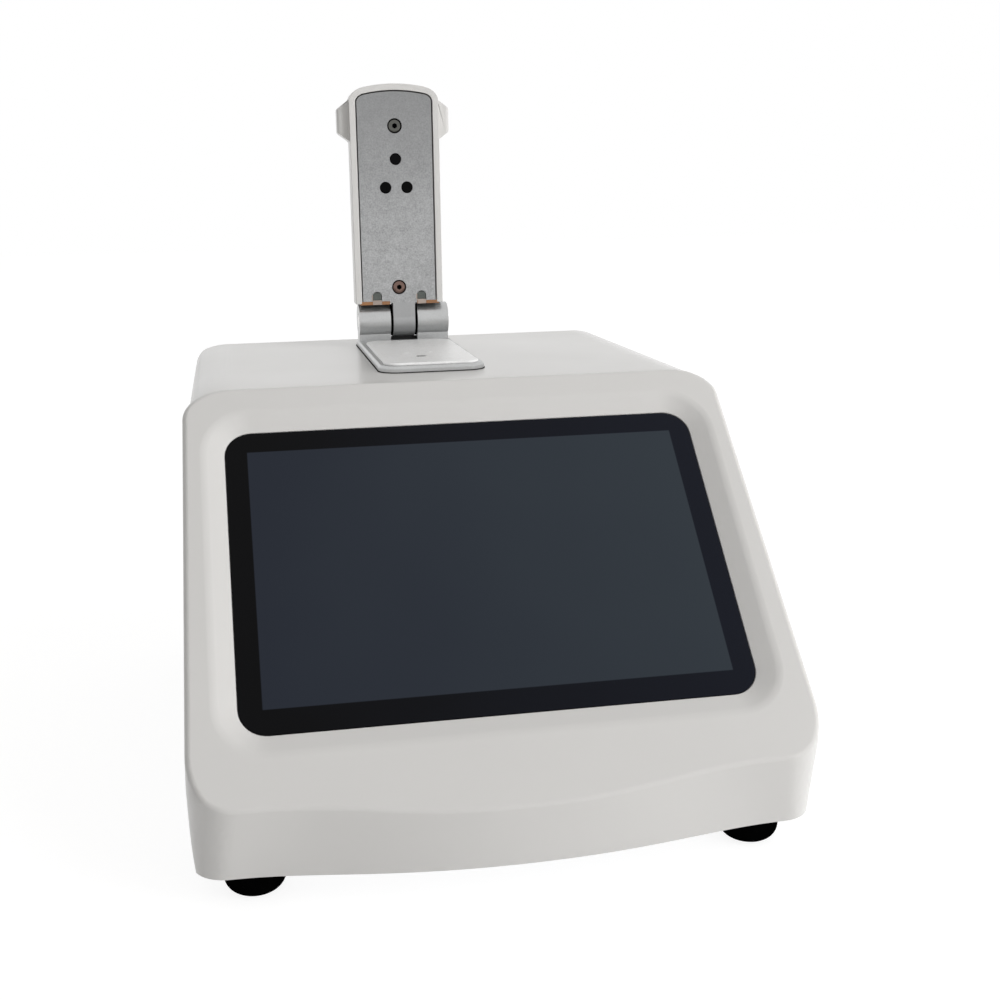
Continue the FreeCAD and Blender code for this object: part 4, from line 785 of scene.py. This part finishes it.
class INSTRUMENT_OT_finishes(bpy.types.Operator):
    """Builds the finishes and gives each part of the frame its own"""
    bl_idname = "instrument.finishes"
    bl_label = "Finishes"

    def execute(self, context):
        for make_group in (tone_group, gloss_group, grain_group, lines_group):
            make_group()
        make_finishes(context.scene.instrument_colours, context.scene.instrument_sizes)
        for node, part in nodes.items():
            part.data.materials.clear()
            part.data.materials.append(finishes[slot_of_node[node]])
        return {"FINISHED"}


class INSTRUMENT_OT_covers(bpy.types.Operator):
    """Finishes the front cover, the rear cover and the base tray"""
    bl_idname = "instrument.covers"
    bl_label = "Covers"

    def execute(self, context):
        self.front(context.scene.instrument_sizes)
        skin("rear_cover")
        skin("base_tray")
        return {"FINISHED"}

    def front(self, sizes):
        """The front cover, with a soft roll into the recess and a fine edge at the glass."""
        piece = merged_copy("front_cover", "front_cover_skin")
        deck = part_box("front_cover")[1].z

        def on_slope(point, depth):
            """Whether a point lies at a depth under the slope and within the recess."""
            forward = sizes.slope_edge - point.y
            rise = point.z - deck
            out = (forward + rise) / math.sqrt(2)
            down = (forward - rise) / math.sqrt(2)
            if abs(out + depth) > ON_SLOPE or abs(point.x) > sizes.recess_half_width:
                return False
            return RECESS_SPAN[0] < down < RECESS_SPAN[1]

        pick_edges(piece, lambda point: on_slope(point, 0.0))
        bevel(sizes.recess_roll, 4)
        pick_edges(piece, lambda point: on_slope(point, sizes.recess_depth))
        bevel(sizes.cover_round, 2)
        smooth(piece)
        place(piece, "front_cover", replaced=["front_cover"])


class INSTRUMENT_OT_screen(bpy.types.Operator):
    """Finishes the touch glass with its black print and lit field"""
    bl_idname = "instrument.screen"
    bl_label = "Screen"

    def execute(self, context):
        skin("screen_glass", GLASS_ROUND, "touch_glass")
        return {"FINISHED"}


class INSTRUMENT_OT_arm(bpy.types.Operator):
    """Finishes the arm's cover and plate, its pads, window and film"""
    bl_idname = "instrument.arm"
    bl_label = "Arm"

    def execute(self, context):
        sizes = context.scene.instrument_sizes
        skin("arm_cover", ARM_ROUND)
        skin("arm_plate", sizes.metal_round)
        # The hinge leaf is finished dark as painted shade.
        skin("hinge_leaf", finish="shaded_zinc")
        self.pads(sizes)
        self.film(sizes)
        return {"FINISHED"}

    def pads(self, sizes):
        """The two rest pads and the upper window, which all stand out of the plate as low domes."""
        low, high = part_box("rest_bumpers")
        radius = (high.z - low.z) / 2
        depth = high.y - low.y + sizes.pad_rise
        spot = Vector((low.x + radius, high.y - depth / 2, (low.z + high.z) / 2))
        first = self.dome("rest_pad_left", spot, radius, depth)
        place(first, "rest_bumpers", "pad_rubber", ["rest_bumpers"])
        second = own_copy(first, "rest_pad_right", (high.x - low.x - 2 * radius, 0.0, 0.0))
        place(second, "rest_bumpers", "pad_rubber", ["rest_bumpers"])
        low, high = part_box("upper_window")
        radius = (high.z - low.z) / 2
        depth = high.y - low.y
        spot = Vector(((low.x + high.x) / 2, high.y - depth / 2, (low.z + high.z) / 2))
        place(self.dome("window_dome", spot, radius, depth), "upper_window", replaced=["upper_window"])

    def dome(self, name, spot, radius, depth):
        """A round plug along Y with a softly rounded front."""
        piece = bar(name, spot, radius, depth)
        front = spot.y - depth / 2
        pick_edges(piece, lambda point: point.y < front + ON_FACE)
        bevel(DOME_ROUND, 6)
        smooth(piece, 40.0)
        return piece

    def film(self, sizes):
        """Amber film over each outer barrel, broken by a pale tab under the notch above; the tab and a pale
        strip at the notch's left edge are painted highlights.
        """
        plate_low, plate_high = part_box("arm_plate")
        middle = middle_of("arm_screws").x
        height = sizes.film_height
        front = plate_low.y + FILM_SUNK
        for side, name in ((-1, "left"), (1, "right")):
            low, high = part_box("hinge_knuckle_" + name)
            inner = high.x - FILM_INSET if side < 0 else low.x + FILM_INSET
            outer = plate_low.x - FILM_OVERHANG if side < 0 else plate_high.x + FILM_OVERHANG
            notch = middle + side * NOTCH_OFFSET
            near = notch - side * NOTCH_WIDTH / 2
            far = notch + side * NOTCH_WIDTH / 2
            left = notch - NOTCH_WIDTH / 2
            base = high.z + FILM_RISE
            rise = base + NOTCH_SHARE * height
            self.strip("arm_film_inner_" + name, inner, near, base, height, front, "amber_film")
            self.strip("arm_film_outer_" + name, far, outer, base, height, front, "amber_film")
            # Painted highlights: the pale tab under the notch and the pale strip at its left edge.
            self.strip("arm_tab_" + name, near, far, base, TAB_HIGHLIGHT_SHARE * height,
                       plate_low.y + TAB_HIGHLIGHT_SUNK, "pale_tab")
            self.notch(name, notch, rise, plate_low.y + NOTCH_SUNK)
            self.strip("notch_edge_" + name, left + NOTCH_HIGHLIGHT_SPAN[0], left + NOTCH_HIGHLIGHT_SPAN[1], rise,
                       NOTCH_HIGHLIGHT_HEIGHT, plate_low.y + NOTCH_HIGHLIGHT_SUNK, "pale_tab")

    def notch(self, name, middle, base, front):
        """A notch's sloping walls and the sheet that shows in it, both dark as painted shade."""
        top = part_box("hinge_leaf")[0].z + NOTCH_HEIGHT
        half = NOTCH_WIDTH / 2
        piece = block("notch_walls_" + name, (middle, front + NOTCH_DEPTH / 2, (base + top) / 2),
                      (2 * half, NOTCH_DEPTH, top - base))
        for side in (-1, 1):
            pick_edges(piece, lambda point: point.z > top - ON_FACE
                       and side * (point.x - middle) > half - ON_FACE)
            bevel(NOTCH_CORNER, 4)
        pick_faces(piece, lambda spot, normal: normal.y < -0.99)
        bpy.ops.mesh.inset(thickness=NOTCH_WALL, depth=-NOTCH_FLOOR)
        bpy.ops.object.mode_set(mode="OBJECT")
        smooth(piece)
        place(piece, "hinge_leaf", "notch_walls")
        sheet = own_copy(piece, "notch_sheet_" + name)
        pick_faces(sheet, lambda spot, normal: normal.y < -0.99 and spot.y > front + NOTCH_FLOOR / 2)
        bpy.ops.mesh.select_all(action="INVERT")
        bpy.ops.mesh.delete(type="FACE")
        bpy.ops.mesh.select_all(action="SELECT")
        bpy.ops.mesh.extrude_region_move(TRANSFORM_OT_translate={"value": (0.0, -SHEET_THICKNESS, 0.0)})
        bpy.ops.mesh.select_all(action="SELECT")
        bpy.ops.mesh.normals_make_consistent(inside=False)
        bpy.ops.object.mode_set(mode="OBJECT")
        place(sheet, "hinge_leaf", "shaded_zinc")

    def strip(self, name, start, end, base, height, front, finish):
        """A thin upright strip with broken edges."""
        piece = block(name, ((start + end) / 2, front + FILM_THICKNESS / 2, base + height / 2),
                      (abs(end - start), FILM_THICKNESS, height))
        break_edges(piece, STRIP_ROUND)
        smooth(piece)
        place(piece, "hinge_leaf", finish)


class INSTRUMENT_OT_screws(bpy.types.Operator):
    """Models the arm's button-head screws with hexagon sockets, with dark discs painted as shade at their
    rims and in their sockets
    """
    bl_idname = "instrument.screws"
    bl_label = "Arm screws"

    def execute(self, context):
        low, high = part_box("arm_screws")
        width = high.x - low.x
        upper = Vector(((low.x + high.x) / 2, low.y + HEAD_SUNK, high.z - width / 2))
        drop = (0.0, 0.0, width - (high.z - low.z))
        piece = self.head(upper, context.scene.instrument_sizes.screw_radius)
        place(piece, "arm_screws", "screw_steel", ["arm_screws"])
        place(own_copy(piece, "arm_screw_lower", drop), "arm_screws", "screw_bronze", ["arm_screws"])
        # Painted shade: a dark disc behind each head shows as a dark ring at its rim, and a dark hexagon
        # darkens each socket's floor.
        seat = self.disc("arm_screw_seat_upper", upper, RIM_SHADE_BEHIND, 48, width / 2)
        floor = self.disc("arm_screw_socket_upper", upper, SOCKET_SHADE_BEHIND, 6, SOCKET_SHADE_RADIUS)
        for piece in (seat, floor):
            place(piece, "arm_screws", "rubber_black")
            other = own_copy(piece, piece.name.replace("upper", "lower"), drop)
            place(other, "arm_screws", "rubber_black")
        return {"FINISHED"}

    def disc(self, name, face_middle, behind, sides, radius):
        """A thin dark disc across the arm, behind the head's face, as painted shade."""
        piece = bar(name, face_middle + Vector((0.0, behind, 0.0)), radius, SHADE_DISC_DEPTH, sides=sides)
        smooth(piece)
        return piece

    def head(self, face_middle, radius):
        """One screw: a domed head with a hexagon socket, and its shank."""
        spot = face_middle + Vector((0.0, HEAD_DEPTH / 2, 0.0))
        piece = bar("arm_screw_upper", spot, radius, HEAD_DEPTH)
        pick_edges(piece, lambda point: abs(point.y - face_middle.y) < ON_FACE)
        bevel(HEAD_ROUND, 8)
        sink(piece, lambda middle, normal: normal.y > 0.99, radius * SHANK_SHARE, (0.0, SHANK_LENGTH, 0.0))
        cut_out(piece, bar("cutter", face_middle, SOCKET_RADIUS, SOCKET_DEPTH, sides=6), "Socket")
        smooth(piece)
        return piece


class INSTRUMENT_OT_hinge(bpy.types.Operator):
    """Finishes the hinge barrels and the pin, with dark discs and a dark strip at the centre barrel painted
    as shade in its gaps
    """
    bl_idname = "instrument.hinge"
    bl_label = "Hinge"

    def execute(self, context):
        for side in ("left", "right"):
            skin("hinge_knuckle_" + side, context.scene.instrument_sizes.metal_round, "satin_silver")
        skin("hinge_pin")
        low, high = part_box("hinge_knuckle_left")
        start = high.x
        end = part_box("hinge_knuckle_right")[0].x
        middle = middle_of("hinge_knuckle_left")
        spot = (start + BARREL_GAP / 2, middle.y, middle.z)
        radius = (high.z - low.z) / 2 - GAP_SHADE_SUNK
        # Painted shade: a dark disc in each gap beside the centre barrel.
        gap_shade = bar("hinge_gap_shade_left", spot, radius, BARREL_GAP - GAP_SHADE_PLAY, ALONG_X, 72)
        break_edges(gap_shade, GAP_SHADE_ROUND)
        smooth(gap_shade)
        place(gap_shade, "hinge_pin", "rubber_black")
        other = own_copy(gap_shade, "hinge_gap_shade_right", (end - start - BARREL_GAP, 0.0, 0.0))
        place(other, "hinge_pin", "rubber_black")
        self.shade_strip(start + SHADE_STRIP_PLAY, end - SHADE_STRIP_PLAY, (low.y + high.y) / 2, low.z - SHADE_STRIP_PLAY)
        return {"FINISHED"}

    def shade_strip(self, start, end, middle, top):
        """A dark strip on the foot plate under the centre barrel, as painted shade in the gap there."""
        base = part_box("sample_plate")[0].z
        piece = block("hinge_shade_strip", ((start + end) / 2, middle, (base + top) / 2),
                      (end - start, SHADE_STRIP_WIDTH, top - base))
        break_edges(piece, GAP_SHADE_ROUND)
        smooth(piece)
        place(piece, "foot_plate", "foam")


class INSTRUMENT_OT_deck(bpy.types.Operator):
    """Finishes the foot plate, the sample plate and the lower pedestal"""
    bl_idname = "instrument.deck"
    bl_label = "Deck fittings"

    def execute(self, context):
        sizes = context.scene.instrument_sizes
        skin("foot_plate", sizes.metal_round, "satin_silver", split=True)
        skin("sample_plate", sizes.metal_round, "pale_silver")
        # Painted shade: a dark line round the foot plate.
        self.shade_line()
        skin("plate_screws")
        skin("lower_pedestal", PEDESTAL_ROUND)
        skin("pedestal_bush")
        return {"FINISHED"}

    def shade_line(self):
        """A thin black sheet that shows as a dark line round the foot plate, as painted shade."""
        shade_line = self.plate("foot_plate_shade_line", SHADE_LINE_REACH, SHADE_LINE_HEIGHT)
        cut_out(shade_line, self.plate("cutter", SHADE_LINE_OPENING, CUTTER_HEIGHT), "Opening")
        smooth(shade_line)
        place(shade_line, "foot_plate", "rubber_black")

    def plate(self, name, reach, height):
        """A round-cornered plate that reaches past the foot plate's outline."""
        low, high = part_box("foot_plate")
        middle = (low + high) / 2
        middle.z = low.z + SHADE_LINE_HEIGHT / 2
        piece = block(name, middle, (high.x - low.x + 2 * reach, high.y - low.y + 2 * reach, height))
        for side in (-1, 1):
            for end in (-1, 1):
                pick_edges(piece, lambda point: side * (point.x - middle.x) > 0
                           and end * (point.y - middle.y) > 0)
                bevel(SHADE_LINE_CORNER + reach, 8)
        return piece


class INSTRUMENT_OT_feet(bpy.types.Operator):
    """Models the rubber feet"""
    bl_idname = "instrument.feet"
    bl_label = "Feet"

    def execute(self, context):
        sizes = context.scene.instrument_sizes
        first = self.foot("foot_front_left", sizes.foot_radius, sizes.foot_round)
        start = middle_of("foot_front_left")
        place(first, "foot_front_left", replaced=["foot_front_left"])
        for node in ("foot_front_right", "foot_rear_left", "foot_rear_right"):
            other = own_copy(first, node + "_rubber", middle_of(node) - start)
            place(other, node, replaced=[node])
        skin("foot_screws")
        return {"FINISHED"}

    def foot(self, node, radius, round_size):
        """One foot: a puck rounded below, with a sunk seat for its screw."""
        low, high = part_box(node)
        piece = bar(node + "_rubber", middle_of(node), radius, high.z - low.z, ALONG_Z, 96)
        pick_edges(piece, lambda point: point.z < low.z + ON_FACE)
        bevel(round_size, 9)
        sink(piece, lambda middle, normal: normal.z < -0.99 and middle.z < low.z + ON_FACE,
             radius - round_size - SEAT_RADIUS, (0.0, 0.0, SEAT_DEPTH))
        smooth(piece, 40.0)
        return piece


class INSTRUMENT_OT_rear(bpy.types.Operator):
    """Finishes the rear panel with its switch, inlet and ports"""
    bl_idname = "instrument.rear"
    bl_label = "Rear panel"

    def execute(self, context):
        for node, width in REAR_ROUNDS.items():
            skin(node, width)
        return {"FINISHED"}


class INSTRUMENT_OT_studio(bpy.types.Operator):
    """Sets the floor, the soft light, the lamps and the camera"""
    bl_idname = "instrument.studio"
    bl_label = "Studio"

    def execute(self, context):
        studio = context.scene.instrument_studio
        self.floor()
        self.surroundings(studio.fill_level)
        for lamp in (self.lamp("Key", studio.key_power, size=2.0, spot=(2.45, -1.53, 1.90)),
                     self.lamp("Side", studio.side_power, size=1.6, spot=(2.24, -2.24, 0.48))):
            lamp.visible_glossy = False
        self.lamp("Glint", studio.glint_power, size=0.02, spot=(0.9, -0.9, 0.62))
        self.camera(studio)
        context.scene.view_settings.view_transform = "Standard"
        return {"FINISHED"}

    def split_rays(self, tree, output, lighting, seen):
        """Gives one shader to the light, and another to the camera, reflections and glass."""
        rays = add(tree, "LightPath").outputs
        share = maths(tree, "MAXIMUM", rays["Is Camera Ray"], rays["Is Glossy Ray"])
        share = maths(tree, "MAXIMUM", share, rays["Is Transmission Ray"])
        pick = add(tree, "MixShader", {"Fac": share, 1: lighting.outputs[0], 2: seen.outputs[0]})
        feed(tree, pick.outputs["Shader"], output.inputs["Surface"])

    def floor(self):
        """A wide pale floor that shows white and keeps the shadow."""
        rest()
        bpy.ops.mesh.primitive_plane_add(size=FLOOR_SIZE, location=(0.0, 0.0, 0.0))
        ground = bpy.context.object
        ground.name = "studio_floor"
        material = bpy.data.materials.new("Pale floor")
        tree = empty_tree(material)
        matt = add(tree, "BsdfDiffuse", {"Color": FLOOR_BOUNCE})
        shaded = add(tree, "BsdfDiffuse", {"Color": FLOOR_SHADOW})
        glow = add(tree, "Emission", {"Strength": FLOOR_GLOW})
        both = add(tree, "AddShader", {0: shaded.outputs["BSDF"], 1: glow.outputs["Emission"]})
        self.split_rays(tree, add(tree, "OutputMaterial"), matt, both)
        ground.data.materials.append(material)

    def surroundings(self, level):
        """White behind the object, and soft light from all around, stronger from the right and the back."""
        world = bpy.data.worlds.new("Studio")
        bpy.context.scene.world = world
        tree = empty_tree(world)
        compass = add(tree, "TexCoord").outputs["Generated"]
        sides = add(tree, "SeparateXYZ", {"Vector": compass}).outputs
        slant = spread(tree, sides["X"], (-1.0, 1.0), (level * ROOM_LEFT, level * ROOM_RIGHT))
        behind = maths(tree, "MULTIPLY", maths(tree, "MAXIMUM", sides["Y"], 0.0), level * ROOM_BACK)
        strength = maths(tree, "ADD", slant, behind)
        room = add(tree, "Background", {"Color": ROOM_TINT, "Strength": strength})
        white = add(tree, "Background", {"Color": WHITE, "Strength": 1.0})
        self.split_rays(tree, add(tree, "OutputWorld"), room, white)

    def lamp(self, name, power, size, spot):
        """A square area lamp that faces the instrument."""
        data = bpy.data.lights.new(name, "AREA")
        data.energy = power
        data.size = size
        lamp = bpy.data.objects.new(name, data)
        bpy.context.scene.collection.objects.link(lamp)
        lamp.location = spot
        aim = LAMP_AIM - Vector(spot)
        lamp.rotation_euler = aim.to_track_quat("-Z", "Y").to_euler()
        return lamp

    def camera(self, studio):
        """The photograph's viewpoint."""
        data = bpy.data.cameras.new("Camera")
        data.sensor_width = SENSOR_WIDTH
        data.lens = studio.camera_lens
        data.shift_x, data.shift_y = studio.camera_shift
        data.clip_start = 0.01
        data.clip_end = 100.0
        camera = bpy.data.objects.new("Camera", data)
        bpy.context.scene.collection.objects.link(camera)
        camera.location = studio.camera_place
        camera.rotation_euler = studio.camera_turn
        bpy.context.scene.camera = camera


OPERATORS = [
    INSTRUMENT_OT_finishes,
    INSTRUMENT_OT_covers,
    INSTRUMENT_OT_screen,
    INSTRUMENT_OT_arm,
    INSTRUMENT_OT_screws,
    INSTRUMENT_OT_hinge,
    INSTRUMENT_OT_deck,
    INSTRUMENT_OT_feet,
    INSTRUMENT_OT_rear,
    INSTRUMENT_OT_studio,
]


class INSTRUMENT_PT_panel(bpy.types.Panel):
    """Lists the steps that finish the instrument"""
    bl_label = "Instrument"
    bl_idname = "INSTRUMENT_PT_panel"
    bl_space_type = "VIEW_3D"
    bl_region_type = "UI"
    bl_category = "Instrument"

    def draw(self, context):
        for operator in OPERATORS:
            self.layout.operator(operator.bl_idname)
        for group in (context.scene.instrument_colours, context.scene.instrument_sizes,
                      context.scene.instrument_studio):
            box = self.layout.box()
            for label in group.__annotations__:
                box.prop(group, label)


CLASSES = [InstrumentColours, InstrumentSizes, InstrumentStudio, *OPERATORS, INSTRUMENT_PT_panel]


def register():
    """Registers the classes and the scene's settings."""
    for item in CLASSES:
        bpy.utils.register_class(item)
    bpy.types.Scene.instrument_colours = bpy.props.PointerProperty(type=InstrumentColours)
    bpy.types.Scene.instrument_sizes = bpy.props.PointerProperty(type=InstrumentSizes)
    bpy.types.Scene.instrument_studio = bpy.props.PointerProperty(type=InstrumentStudio)


def unregister():
    """Takes the settings and the classes away."""
    del bpy.types.Scene.instrument_colours
    del bpy.types.Scene.instrument_sizes
    del bpy.types.Scene.instrument_studio
    for item in reversed(CLASSES):
        bpy.utils.unregister_class(item)


def main():
    """Runs every step in order."""
    register()
    bpy.ops.instrument.finishes()
    bpy.ops.instrument.covers()
    bpy.ops.instrument.screen()
    bpy.ops.instrument.arm()
    bpy.ops.instrument.screws()
    bpy.ops.instrument.hinge()
    bpy.ops.instrument.deck()
    bpy.ops.instrument.feet()
    bpy.ops.instrument.rear()
    bpy.ops.instrument.studio()


if __name__ == "__main__":
    main()
